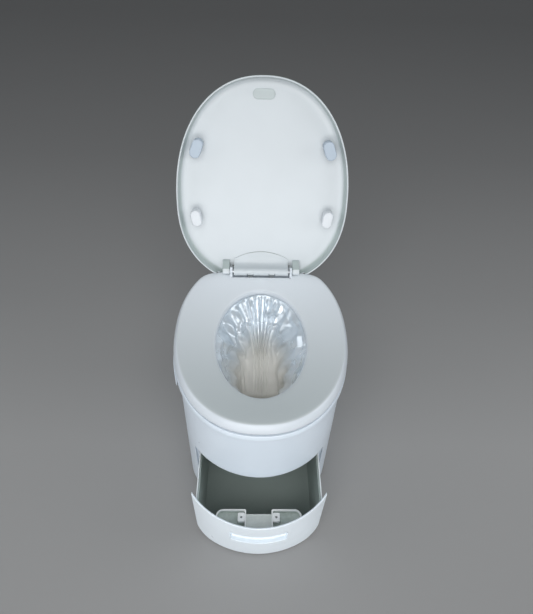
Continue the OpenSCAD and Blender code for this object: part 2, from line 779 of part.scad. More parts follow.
// The scoop: a ledge at the bottom and a back wall that leans out towards the top
module grip_cup() {
    low = grip_ledge_z;
    high = grip_ledge_z + grip_h;
    back_low = face_y(0, low, grip_depth);
    back_high = face_y(0, high, grip_depth - 5);
    t = 2.5;
    color("white") drawer_pose() difference() {
        union() {
            intersection() {
                slab(-grip_half_w - t, grip_half_w + t,
                    [[-300, low - t], [back_low + t, low - t], [back_high + t, high + t], [-300, high + t]]);
                loft([for (z = [0, 60, 120, 180, opening_top]) at_z(body_oval(z, 0.2), z)]);
            }
            both_sides() translate([boss_x - boss_w / 2, back_low + t - 8, bracket_z - 6 - near])
                cube([boss_w, boss_y + 8 - back_low - t + 8, 6]);
        }
        slab(-grip_half_w, grip_half_w,
            [[-400, low], [back_low, low], [back_high, high], [-400, high]]);
        both_sides() translate([boss_x, boss_y, 0]) cylinder(h = bracket_z, r = screw_r);
    }
}

function bin_plan(d) = concat([[frame_half_w - frame_wall - near - d, drawer_back - frame_wall - near - d],
    [-(frame_half_w - frame_wall - near - d), drawer_back - frame_wall - near - d]],
    [for (k = [0 : 24]) let (x = -(frame_half_w - frame_wall - near - d) * cos(180 * k / 24))
        [x, face_y(x, 0, body_wall + bin_front_gap + d)]]);

module waste_bin() {
    color("darkslategray") drawer_pose() translate([0, 0, bin_z]) difference() {
        linear_extrude(bin_top - bin_z) polygon(bin_plan(0));
        translate([0, 0, bin_wall]) linear_extrude(bin_top) polygon(bin_plan(bin_wall));
        translate([-bracket_half_w - 3, -300, bracket_z - bin_z - 6 - 1])
            cube([2 * bracket_half_w + 6, 300 + bracket_rear + 3, 200]);
    }
}

module bracket_pocket() {
    rim = 3;
    r = 16;
    pocket_w = bracket_half_w - pocket_in;
    // Plan of one pocket: straight rear edge, a small inner and a large outer corner
    module plan(d) {
        intersection() {
            union() {
                translate([pocket_in + d, -300])
                    square([pocket_w - r - d, 300 + bracket_rear - d]);
                translate([pocket_in + d, -300])
                    square([pocket_w - 2 * d, 300 + bracket_rear - r]);
                translate([bracket_half_w - r, bracket_rear - r]) circle(r = r - d);
            }
            polygon(bracket_limit(0));
        }
    }
    difference() {
        translate([0, 0, bracket_z]) linear_extrude(bracket_rim_h) plan(0);
        translate([0, 0, bracket_z + bracket_t]) linear_extrude(bracket_rim_h) plan(rim);
        translate([0, 0, bracket_z + bracket_t]) linear_extrude(bracket_rim_h)
            translate([pocket_in + rim, -300]) square([boss_x + boss_w / 2 - pocket_in, 300 + plate_rear]);
    }
    translate([boss_x - boss_w / 2, boss_y - boss_l / 2, bracket_z + bracket_t])
        cube([boss_w, boss_l, boss_h - bracket_t]);
}

// The bracket ends at the cup's back in the middle and at the panel's inside beyond it
function bracket_limit(d) = let (cup = grip_half_w + 2.5 + near,
        back = face_y(0, grip_ledge_z, grip_depth) + 2.5 + near)
    concat([[bracket_half_w + 1, 0], [-bracket_half_w - 1, 0]],
        [for (k = [0 : 4]) let (x = -bracket_half_w - 1 + (bracket_half_w + 1 - cup) * k / 4)
            [x, face_y(x, bracket_z, body_wall + near)]],
        [[-cup, back], [cup, back]],
        [for (k = [0 : 4]) let (x = cup + (bracket_half_w + 1 - cup) * k / 4)
            [x, face_y(x, bracket_z, body_wall + near)]]);

module drawer_bracket() {
    color("lightgray") drawer_pose() difference() {
        union() {
            both_sides() bracket_pocket();
            translate([0, 0, bracket_z + bracket_t + 3]) linear_extrude(4) intersection() {
                translate([-pocket_in - 3, -300]) square([2 * pocket_in + 6, 300 + plate_rear]);
                polygon(bracket_limit(0));
            }
        }
        both_sides() translate([boss_x, boss_y, 0]) cylinder(h = 300, r = screw_r);
    }
}

module bracket_screws() {
    color("dimgray") drawer_pose() both_sides()
        translate([boss_x, boss_y, bracket_z - 7]) cylinder(h = boss_h + 1, r = screw_r);
}

// The lever hangs outside the body under the collar and turns on its rear end
module packing_lever() {
    color("white") difference() {
        union() {
            translate([0, 0, lever_z - lever_half_h]) linear_extrude(2 * lever_half_h) intersection() {
                difference() {
                    polygon(seat_oval(lever_stand));
                    polygon(seat_oval(lever_stand - lever_t));
                }
                translate([-2 * body_half_w, lever_y - lever_reach])
                    square([body_half_w - clear, lever_reach]);
            }
            rod(lever_hub_r, lever_outer_x, -body_half_w - 2 * clear, lever_y, lever_z);
        }
        rod(lever_shaft_r, lever_outer_x + 3, -body_half_w, lever_y, lever_z);
    }
}

module lever_shaft() {
    color("lightgray") rod(lever_shaft_r, lever_outer_x + 3, sector_x + sector_t + 6, lever_y, lever_z);
}

module toothed_sector() {
    step = 360 / sector_teeth;
    first = -ceil((lever_travel + 5) / step);
    last = ceil(4 / step);
    teeth = tooth_points(drive_module, sector_teeth, first, last, mesh_angle);
    a0 = mesh_angle + first * step;
    a1 = mesh_angle + last * step;
    // A spoked quadrant: the toothed arc, two edges and a hub, with a window between them
    window = [for (k = [0 : 12]) let (a = a0 + 3 + (a1 - a0 - 6) * k / 12)
        (sector_pitch - 16) * [cos(a), sin(a)]];
    color("ivory") difference() {
        union() {
            translate([sector_x, lever_y, lever_z]) rotate([90, 0, 90]) linear_extrude(sector_t)
                difference() {
                    polygon(concat([[0, 0]], teeth));
                    polygon(concat([55 * [cos((a0 + a1) / 2), sin((a0 + a1) / 2)]], window));
                }
            rod(sector_hub_r, sector_x, sector_x + sector_t, lever_y, lever_z);
        }
        rod(lever_shaft_r, sector_x - 1, sector_x + sector_t + 1, lever_y, lever_z);
    }
}

module roller(y) {
    difference() {
        rod(roller_r, -roller_half_l, roller_half_l, y, roller_z);
        rod(shaft_r, -roller_half_l - 1, roller_half_l + 1, y, roller_z);
    }
}

module front_roller() {
    color("slategray") roller(front_roller_y);
}

module front_shaft() {
    color("lightgray") rod(shaft_r, sector_x - 2, gear_x + gear_t + 1, front_roller_y, roller_z);
}

module drive_pinion() {
    color("ivory") wheel(drive_module, pinion_teeth, mesh_angle + 180 + 180 / pinion_teeth,
        sector_x - 1, front_roller_y);
}

module front_gear() {
    color("ivory") wheel(roller_module, roller_teeth, 0, gear_x, front_roller_y);
}

module rear_gear() {
    color("ivory") wheel(roller_module, roller_teeth, 180 + 180 / roller_teeth, gear_x, rear_roller_y);
}

module rear_roller() {
    color("slategray") roller(rear_roller_y);
}

module rear_shaft() {
    color("lightgray") rod(shaft_r, -side_x - 4, gear_x + gear_t + 1, rear_roller_y, roller_z);
}

// Arms hang from the pivot pins and carry the rear roller
module swing_arms() {
    w = 10;
    color("silver") both_sides() difference() {
        union() {
            slab(arm_x, arm_x + arm_t, [[pivot_y - w, pivot_z], [rear_roller_y - w, roller_z],
                [rear_roller_y + w, roller_z], [pivot_y + w, pivot_z]]);
            rod(w, arm_x, arm_x + arm_t, pivot_y, pivot_z);
            rod(w, arm_x, arm_x + arm_t, rear_roller_y, roller_z);
        }
        rod(bush_r, arm_x - 1, arm_x + arm_t + 1, rear_roller_y, roller_z);
        rod(pivot_r + run, arm_x - 1, arm_x + arm_t + 1, pivot_y, pivot_z);
    }
}

module rear_bushes() {
    color("goldenrod") both_sides() difference() {
        rod(bush_r, arm_x, arm_x + arm_t, rear_roller_y, roller_z);
        rod(shaft_r + run, arm_x - 1, arm_x + arm_t + 1, rear_roller_y, roller_z);
    }
}

body_shell();
top_deck();
base_plate();
floor_feet();
shelf();
inner_bowl();
film_cassette();
film_pack();
liner_film();
hinge_posts();
hinge_pin();
drawer_rails();
side_plates();
front_bushes();
pivot_pins();
arm_springs();
lever_bush();
return_spring();
lid_shell();
lid_lugs();
hinge_bridge();
lid_front_bumpers();
lid_rear_bumpers();
lid_boss();
seat_ring();
seat_buffers();
drawer_frame();
drawer_front();
grip_cup();
waste_bin();
drawer_bracket();
bracket_screws();
packing_lever();
lever_shaft();
toothed_sector();
front_roller();
front_shaft();
drive_pinion();
front_gear();
swing_arms();
rear_bushes();
rear_roller();
rear_shaft();
rear_gear();
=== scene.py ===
# Waterless packing toilet with its lid open and its drawer part of the way out:
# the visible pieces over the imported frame, their finishes, the floor, the light and the camera.
import math

import bmesh
import bpy
import numpy as np
from mathutils import Matrix, Vector, noise


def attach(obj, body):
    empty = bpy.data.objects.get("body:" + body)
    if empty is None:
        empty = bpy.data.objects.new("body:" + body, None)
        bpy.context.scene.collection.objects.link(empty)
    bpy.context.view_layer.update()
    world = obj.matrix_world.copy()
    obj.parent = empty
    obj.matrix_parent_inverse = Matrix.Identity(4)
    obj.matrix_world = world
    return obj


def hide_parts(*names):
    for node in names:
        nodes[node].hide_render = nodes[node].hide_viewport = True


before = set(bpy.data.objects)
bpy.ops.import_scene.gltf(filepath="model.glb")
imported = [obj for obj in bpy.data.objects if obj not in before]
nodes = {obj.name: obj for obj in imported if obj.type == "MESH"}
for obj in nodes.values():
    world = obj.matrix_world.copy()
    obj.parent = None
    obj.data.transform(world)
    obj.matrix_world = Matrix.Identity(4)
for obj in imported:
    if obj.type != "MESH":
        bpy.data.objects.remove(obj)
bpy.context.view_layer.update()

MM = 0.001

# Main sizes in millimetres, as in the frame's source
SEAT_H, SEAT_HALF_W, SEAT_FRONT, SEAT_REAR, SQUARE = 460.0, 190.0, 263.0, 248.0, 2.2
SEAT_BOTTOM, SEAT_ARC_COUNT = 434.0, 161
HOLE_HALF_W, HOLE_HALF_L, HOLE_Y = 101.0, 157.0, -38.0
DECK_TOP, DECK_UNDER, SKIRT_BOTTOM, COLLAR_OUT = 430.0, 426.0, 415.0, 9.0
HINGE_Y, HINGE_Z, LID_OPEN = 180.0, 468.0, 108.3
RIM_Z, LID_TOP, LID_OUT, LID_WALL, LID_REAR, LID_SQUARE = 463.5, 495.0, 11.5, 3.5, 201.0, 2.3
BODY_HALF_W, FOOT_FRONT, WAIST_FRONT, NECK_FRONT, BODY_BACK = 180.0, 216.0, 251.0, 266.0, 240.0
BODY_BOTTOM, OPEN_TOP, OPEN_HALF_W, BODY_WALL = 8.0, 229.0, 151.0, 4.0
FRONT_Y, SIDE_END_Y, FRONT_EXP, BACK_EXP = -85.0, 60.0, 1.92, 2.3
DRAWER_OUT, FRONT_HALF_W, FRAME_HALF_W = 117.0, 149.5, 140.5
NIP_Y, ROLLER_Z, LEVER_Y, LEVER_Z = -85.0, 268.0, 0.157, 400.0
PIVOT_Y, PIVOT_Z = -63.0, 308.0


# ---------------------------------------------------------------- outlines
def power(c, n):
    return np.sign(c) * np.abs(c) ** (2 / n)


def oval(a, front, rear, n, yc, turn):
    s = np.sin(turn)
    return np.stack([a * power(np.cos(turn), n), yc + np.where(s < 0, front, rear) * power(s, n)], -1)


def turns(count):
    return np.linspace(0, 2 * np.pi, count, endpoint=False)


def seat_oval(d):
    return oval(SEAT_HALF_W + d, SEAT_FRONT + d, SEAT_REAR + d, SQUARE, 0, turns(192))


def hole_oval(d, turn=None):
    turn = turns(192) if turn is None else turn
    return oval(HOLE_HALF_W + d, HOLE_HALF_L + d, HOLE_HALF_L + d, 2, HOLE_Y, turn)


def seat_arc(d, cut):
    """The seat's oval grown by d, from its right end at y = cut round the front to its left end."""
    start = math.asin((cut / (SEAT_REAR + d)) ** (SQUARE / 2))
    return oval(SEAT_HALF_W + d, SEAT_FRONT + d, SEAT_REAR + d, SQUARE, 0,
                np.linspace(start, -math.pi - start, SEAT_ARC_COUNT))


def lid_arc(d, cut):
    """The lid's outline grown by d, rounder behind than the seat's, from right end to left end."""
    start = math.asin((cut / (LID_REAR + d)) ** (LID_SQUARE / 2)) if cut < LID_REAR + d else math.pi / 2
    turn = np.linspace(start, -math.pi - start, SEAT_ARC_COUNT)
    s = np.sin(turn)
    ahead = oval(SEAT_HALF_W + d, SEAT_FRONT + d, 1, SQUARE, 0, turn)
    behind = oval(SEAT_HALF_W + d, 1, LID_REAR + d, LID_SQUARE, 0, turn)
    return np.where(s[:, None] < 0, ahead, behind)


def seat_half_at(y, d):
    reach = np.where(np.asarray(y) < 0, SEAT_FRONT, SEAT_REAR) + d
    return (SEAT_HALF_W + d) * (1 - (np.abs(y) / reach) ** SQUARE) ** (1 / SQUARE)


def body_front(z):
    if z < OPEN_TOP:
        return FOOT_FRONT + (WAIST_FRONT - FOOT_FRONT) * z / OPEN_TOP
    return WAIST_FRONT + (NECK_FRONT - WAIST_FRONT) * (z - OPEN_TOP) / (DECK_UNDER - OPEN_TOP)


def body_plan(z, d, turn):
    s, c = np.sin(turn), np.cos(turn)
    n = np.where(s < 0, FRONT_EXP, BACK_EXP)
    x = (BODY_HALF_W - d) * power(c, n)
    y = np.where(s < 0, FRONT_Y - (body_front(z) + FRONT_Y - d) * np.abs(s) ** (2 / n),
                 SIDE_END_Y + (BODY_BACK - SIDE_END_Y - d) * np.abs(s) ** (2 / n))
    return np.stack([x, y], -1)


def face_y(x, z, d):
    share = np.clip(np.abs(x) / (BODY_HALF_W - d), 0, 1)
    return FRONT_Y - (body_front(z) + FRONT_Y - d) * (1 - share ** FRONT_EXP) ** (1 / FRONT_EXP)


def face_y_at(x, z, d=BODY_WALL):
    """The drawer front's face, moved in by d, at places with heights of their own."""
    share = np.clip(np.abs(x) / (BODY_HALF_W - d), 0, 1)
    front = FOOT_FRONT + (WAIST_FRONT - FOOT_FRONT) * z / OPEN_TOP
    return FRONT_Y - (front + FRONT_Y - d) * (1 - share ** FRONT_EXP) ** (1 / FRONT_EXP)


def at_z(plan, z):
    return np.column_stack([plan, np.full(len(plan), float(z))])


def eased(rows, count):
    """Rows of a profile drawn through as one smooth curve, spread evenly along it."""
    rows = np.asarray(rows, float)
    ends = np.vstack([2 * rows[0] - rows[1], rows, 2 * rows[-1] - rows[-2]])
    fine = []
    for k in range(1, len(ends) - 2):
        p0, p1, p2, p3 = ends[k - 1:k + 3]
        for t in np.linspace(0, 1, 12, endpoint=False):
            fine.append(0.5 * (2 * p1 + (p2 - p0) * t + (2 * p0 - 5 * p1 + 4 * p2 - p3) * t ** 2
                               + (3 * p1 - p0 - 3 * p2 + p3) * t ** 3))
    fine = np.vstack(fine + [rows[-1:]])
    run = np.concatenate([[0], np.cumsum(np.linalg.norm(np.diff(fine, axis=0), axis=1))])
    at = np.linspace(0, run[-1], count)
    return np.stack([np.interp(at, run, fine[:, j]) for j in range(fine.shape[1])], -1)


# ---------------------------------------------------------------- meshes
class Shape:
    """Corners in millimetres and the faces between them."""

    def __init__(self):
        self.corners, self.faces, self.size = [], [], 0

    def ring(self, points):
        points = np.asarray(points, float)
        self.corners.append(points)
        self.size += len(points)
        return list(range(self.size - len(points), self.size))

    def strip(self, a, b, closed=True):
        for i in range(len(a) if closed else len(a) - 1):
            j = (i + 1) % len(a)
            self.faces.append((a[i], a[j], b[j], b[i]))

    def loft(self, rings, closed=True, loop=False, caps=False):
        lines = [self.ring(r) for r in rings]
        for a, b in zip(lines, lines[1:] + (lines[:1] if loop else [])):
            self.strip(a, b, closed)
        if caps:
            self.faces += [tuple(lines[0]), tuple(reversed(lines[-1]))]
        return lines

    def prism(self, outline, lo, hi, axis="z"):
        """A straight solid on an outline, with its length along one axis."""
        outline = np.asarray(outline, float)
        place = {"z": lambda h: np.column_stack([outline, np.full(len(outline), h)]),
                 "x": lambda h: np.column_stack([np.full(len(outline), h), outline])}[axis]
        return self.loft([place(lo), place(hi)], caps=True)

    def turned(self, profile, y, z):
        """A profile of (x, radius) turned round a line along X at (y, z)."""
        t = turns(48)
        rings = [np.column_stack([np.full(len(t), x), y + r * np.cos(t), z + r * np.sin(t)])
                 for x, r in profile]
        return self.loft(rings, caps=True)

    def tube(self, path, radius):
        """A round wire that follows a path."""
        path = np.asarray(path, float)
        along = np.gradient(path, axis=0)
        along /= np.linalg.norm(along, axis=1)[:, None]
        side = np.cross(along[0], (0.31, 0.17, 0.93))
        rings = []
        for p, a in zip(path, along):
            side = side - a * (side @ a)
            side /= np.linalg.norm(side)
            up = np.cross(a, side)
            t = turns(10)[:, None]
            rings.append(p + radius * (np.cos(t) * side + np.sin(t) * up))
        return self.loft(rings, caps=True)


def tilted(points):
    """Points of the closed lid, turned with it about the hinge."""
    a = math.radians(-LID_OPEN)
    p = np.array(points, float)
    y, z = p[:, 1] - HINGE_Y, p[:, 2] - HINGE_Z
    p[:, 1] = HINGE_Y + y * math.cos(a) - z * math.sin(a)
    p[:, 2] = HINGE_Z + y * math.sin(a) + z * math.cos(a)
    return p


def pulled(points):
    """Points of the closed drawer, moved out with it."""
    return np.array(points, float) - (0, DRAWER_OUT, 0)


def piece(name, shape, finish, body, swaps=(), pose=None, bevel=0.0, corner=32):
    """Makes the object: merged corners, outward faces, rounded edges, sharp marks, finish and body."""
    points = np.vstack(shape.corners)
    if pose:
        points = pose(points)
    mesh = bpy.data.meshes.new(name)
    mesh.from_pydata((points * MM).tolist(), [], shape.faces)
    grown = bmesh.new()
    grown.from_mesh(mesh)
    bmesh.ops.remove_doubles(grown, verts=grown.verts, dist=1e-6)
    bmesh.ops.dissolve_degenerate(grown, edges=grown.edges, dist=1e-6)
    bmesh.ops.recalc_face_normals(grown, faces=grown.faces)
    grown.to_mesh(mesh)
    grown.free()
    obj = bpy.data.objects.new(name, mesh)
    bpy.context.scene.collection.objects.link(obj)
    if bevel:
        edge = obj.modifiers.new("edge", "BEVEL")
        edge.width, edge.segments, edge.limit_method = bevel * MM, 3, "ANGLE"
        edge.angle_limit, edge.use_clamp_overlap = math.radians(40), False
        shown = bpy.data.meshes.new_from_object(obj.evaluated_get(bpy.context.evaluated_depsgraph_get()))
        obj.modifiers.clear()
        obj.data = shown
    grown = bmesh.new()
    grown.from_mesh(obj.data)
    for edge in grown.edges:
        edge.smooth = not (edge.is_manifold and edge.calc_face_angle(0) > math.radians(corner))
    for face in grown.faces:
        face.smooth = True
    grown.to_mesh(obj.data)
    grown.free()
    obj.data.name = name
    obj.data.materials.clear()
    obj.data.materials.append(finish)
    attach(obj, body)
    if swaps:
        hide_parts(*swaps)
    return obj


# ---------------------------------------------------------------- finishes
class Reading:
    """A number that varies over a surface; arithmetic on it adds Math nodes."""

    def __init__(self, finish, socket):
        self.finish, self.socket = finish, socket

    def math(self, operation, *values):
        return self.finish.node("ShaderNodeMath", {"operation": operation}, values)

    def __add__(self, other):
        return self.math("ADD", self, other)

    def __sub__(self, other):
        return self.math("SUBTRACT", self, other)

    def __rsub__(self, other):
        return self.math("SUBTRACT", other, self)

    def __mul__(self, other):
        return self.math("MULTIPLY", self, other)

    __radd__, __rmul__ = __add__, __mul__

    def step(self, low, high):
        """0 below low, 1 above high, and a soft ramp between them."""
        return self.finish.node("ShaderNodeMapRange", {"interpolation_type": "SMOOTHSTEP"},
                                {"Value": self, "From Min": low, "From Max": high})


class Finish:
    """One material whose nodes are added through node()."""

    def __init__(self, name):
        self.material = bpy.data.materials.new(name)
        self.material.use_nodes = True
        self.tree = self.material.node_tree
        self.tree.nodes.clear()
        self.place = self.node("ShaderNodeTexCoord", output="Object")

    def node(self, kind, settings=(), values=(), output=0):
        made = self.tree.nodes.new(kind)
        for key, value in dict(settings).items():
            if key == "stops":
                for k, (at, colour) in enumerate(value):
                    stop = made.color_ramp.elements[k] if k < 2 else made.color_ramp.elements.new(at)
                    stop.position, stop.color = at, (*colour, 1)
            else:
                setattr(made, key, value)
        for key, value in (values.items() if isinstance(values, dict) else enumerate(values)):
            socket = made.inputs[key]
            if isinstance(value, Reading):
                self.tree.links.new(value.socket, socket)
            elif isinstance(value, tuple) and len(value) == 3 and socket.type == "RGBA":
                socket.default_value = (*value, 1)
            else:
                socket.default_value = value
        return Reading(self, made.outputs[output])

    def noise(self, scale, detail=2.0, rough=0.5, place=None):
        return self.node("ShaderNodeTexNoise", {},
                         {"Vector": place or self.place, "Scale": scale, "Detail": detail, "Roughness": rough})

    def axis(self, index, place=None):
        return self.node("ShaderNodeSeparateXYZ", {}, [place or self.place], output=index)

    def blend(self, factor, a, b):
        """Colour a where the factor is 0, colour b where it is 1."""
        return self.node("ShaderNodeMix", {"data_type": "RGBA"}, {0: factor, 6: a, 7: b}, output=2)

    def bump(self, height, depth, strength, under=None):
        values = {"Strength": strength, "Distance": depth * MM, "Height": height}
        if under is not None:
            values["Normal"] = under
        return self.node("ShaderNodeBump", {}, values)

    def surface(self, **sockets):
        names = {key.replace("_", " ").title().replace("Ior", "IOR"): value for key, value in sockets.items()}
        shader = self.node("ShaderNodeBsdfPrincipled", {}, names)
        out = self.tree.nodes.new("ShaderNodeOutputMaterial")
        self.tree.links.new(shader.socket, out.inputs["Surface"])
        return self.material


def tone(r, g, b):
    """A colour given by its screen values from 0 to 255."""
    return tuple((v / 255 / 12.92) if v <= 10 else ((v / 255 + 0.055) / 1.055) ** 2.4 for v in (r, g, b))


def plastic(name, colour, shade=0.95, rough=0.3, grain=0.02, top=None, side=None, above=0.0):
    """Moulded plastic: faint clouding of the colour, uneven gloss, fine grain and slight waviness.

    top paints upper faces above a height with light and shade, a tone of their own (front, rear).
    side paints shade: it is the darker tone of faces that turn away from -Y."""
    f = Finish(name)
    clouds = f.noise(7, 3)
    flow = f.noise(38, 2)
    base = f.blend(clouds.step(0.35, 0.7), tuple(v * shade for v in colour), colour)
    gloss = rough + 0.08 * (f.noise(60, 3) - 0.5) + 0.05 * (clouds - 0.5)
    facing = f.node("ShaderNodeTexCoord", output="Normal")
    if top:
        # Painted light and shade: upward faces above the height get their own tone, blended from front to rear
        flat = f.axis(2, facing).step(0.80, 0.985) * f.axis(2).step(above - 0.001, above + 0.001)
        painted_top_shading = f.blend(f.axis(1).step(-0.3, 0.26), *top)
        base = f.blend(flat, base, painted_top_shading)
        gloss = gloss + 0.12 * flat
    if side:
        # Painted shade: faces that turn away from -Y get the darker side tone
        turned = f.axis(1, facing)
        base = f.blend(turned.step(-0.86, -0.45) * (1 - turned.step(0.1, 0.5)), base, side)
    relief = f.bump(flow, 0.2, 0.08, f.bump(f.noise(420, 2), grain, 0.25))
    return f.surface(base_color=base, roughness=gloss, normal=relief)


def tray_finish(name):
    """Bracket plastic, paler at its rims and bosses than in its pockets: painted light on the rims and bosses,
    painted shade in the pockets.
    """
    f = Finish(name)
    # Painted light and shade: above the rims' height the colour is near white, below it the pockets get a darker
    # grey
    height = f.axis(2).step(0.1465, 0.1550)
    floor = f.blend(f.noise(90, 3).step(0.35, 0.7), tone(178, 189, 183), tone(192, 202, 197))
    base = f.blend(height, floor, tone(250, 252, 252))
    return f.surface(base_color=base, roughness=0.42 + 0.1 * (f.noise(60, 3) - 0.5),
                     normal=f.bump(f.noise(700, 2), 0.03, 0.4))


def metal(name, colour, rough=0.32, streak=(900, 30, 30)):
    """Metal with fine marks along one direction and a cloudy tarnish."""
    f = Finish(name)
    spread = f.node("ShaderNodeVectorMath", {"operation": "MULTIPLY"}, [f.place, streak])
    marks = f.noise(1.0, 4, 0.6, place=spread)
    clouds = f.noise(25, 4)
    base = f.blend(clouds.step(0.35, 0.75), colour, tuple(v * 0.82 for v in colour))
    return f.surface(base_color=base, metallic=1.0,
                     roughness=rough + 0.22 * (marks - 0.5) + 0.1 * (clouds - 0.5),
                     normal=f.bump(marks, 0.05, 0.5))


def rubber(name, colour, rough=0.7):
    """Soft rubber: dull, with a fine pebbled skin and pale scuffs."""
    f = Finish(name)
    pebbles = f.node("ShaderNodeTexVoronoi", {}, {"Vector": f.place, "Scale": 900.0})
    scuffs = f.noise(70, 4).step(0.55, 0.75)
    base = f.blend(scuffs * 0.35, colour, tuple(min(1, v * 1.5 + 0.02) for v in colour))
    return f.surface(base_color=base, roughness=rough - 0.1 * scuffs, normal=f.bump(pebbles, 0.1, 0.5))


def film_finish(name):
    """Thin silvered film: milky sheen and fine creases; low in the bowl its colour has painted shade, warmer and a
    little darker, and it is duller.
    """
    f = Finish(name)
    # Painted shade: below about 0.335 to 0.40 m the colour turns warmer and a little darker; metallic and gloss
    # drop there too
    depth = f.axis(2).step(0.335, 0.40)
    clouds = f.noise(14, 3)
    creases = f.noise(55, 5, 0.7)
    low = f.blend(clouds.step(0.3, 0.7), tone(204, 202, 195), tone(220, 218, 212))
    high = f.blend(clouds.step(0.3, 0.7), tone(198, 208, 216), tone(220, 228, 235))
    base = f.blend(depth, low, high)
    return f.surface(base_color=base, metallic=0.1 + 0.38 * depth,
                     roughness=0.5 - 0.24 * depth + 0.12 * (clouds - 0.5), normal=f.bump(creases, 0.4, 0.16))


white = plastic("shell_plastic", tone(210, 220, 230), rough=0.30)
# Painted shade: the drawer front's upward faces get a darker tone than its front faces
front_white = plastic("front_plastic", tone(230, 239, 246), rough=0.30,
                      top=(tone(208, 217, 224), tone(208, 217, 224)))
# Painted shade: the dish's walls, which turn away from -Y, get a darker greenish grey
lid_white = plastic("lid_plastic", tone(203, 209, 213), shade=0.97, rough=0.32, grain=0.008,
                    side=tone(172, 183, 182))
post_white = plastic("post_plastic", tone(212, 217, 222), rough=0.3)
# Painted shade: the leaf's upward faces above 0.4855 m, round the arch, get a dark greenish grey
leaf_white = plastic("leaf_plastic", tone(196, 203, 207), rough=0.3,
                     top=(tone(150, 159, 154), tone(150, 159, 154)), above=0.4855)
# Painted light and shade: the seat's upward top is darker towards the front and lighter towards the rear
seat_white = plastic("seat_plastic", tone(203, 210, 217), rough=0.34,
                     top=(tone(173, 181, 183), tone(228, 234, 240)))
frame_white = plastic("frame_plastic", tone(214, 220, 222), rough=0.38)
boss_white = plastic("boss_plastic", tone(184, 193, 194), rough=0.34)
pad_grey = plastic("pad_plastic", tone(178, 191, 204), rough=0.5, grain=0.04)
bin_dark = plastic("bin_plastic", tone(168, 180, 176), shade=0.9, rough=0.42, grain=0.05)
tray_grey = plastic("tray_plastic", tone(184, 194, 192), rough=0.45, grain=0.04)
tray_painted_light_shade = tray_finish("bracket_plastic")
tray_mid = plastic("inner_plastic", tone(150, 158, 160), rough=0.5, grain=0.04)
gear_plastic = plastic("gear_plastic", tone(226, 222, 208), rough=0.42)
steel = metal("turned_steel", (0.55, 0.56, 0.58))
plate_steel = metal("plate_steel", (0.50, 0.51, 0.53), rough=0.4, streak=(30, 900, 60))
screw_steel = metal("screw_steel", (0.30, 0.31, 0.33), rough=0.4)
bronze = metal("bush_bronze", (0.58, 0.40, 0.20), rough=0.36)
soft_black = rubber("soft_rubber", (0.035, 0.036, 0.038))
roller_rubber = rubber("roller_rubber", (0.075, 0.085, 0.095), rough=0.6)
film = film_finish("silver_film")

kept = {
    tray_grey: ["base_plate", "shelf", "drawer_rails"],
    tray_mid: ["inner_bowl", "film_cassette"],
    frame_white: ["drawer_frame", "hinge_posts"],
    soft_black: ["floor_feet", "seat_buffers"],
    roller_rubber: ["front_roller", "rear_roller"],
    steel: ["hinge_pin", "pivot_pins", "lever_shaft", "front_shaft", "rear_shaft"],
    plate_steel: ["side_plates", "swing_arms"],
    screw_steel: ["bracket_screws"],
    bronze: ["front_bushes", "lever_bush", "rear_bushes"],
    gear_plastic: ["toothed_sector", "drive_pinion", "front_gear", "rear_gear"],
}
for finish, names in kept.items():
    for name in names:
        nodes[name].data.materials.clear()
        nodes[name].data.materials.append(finish)


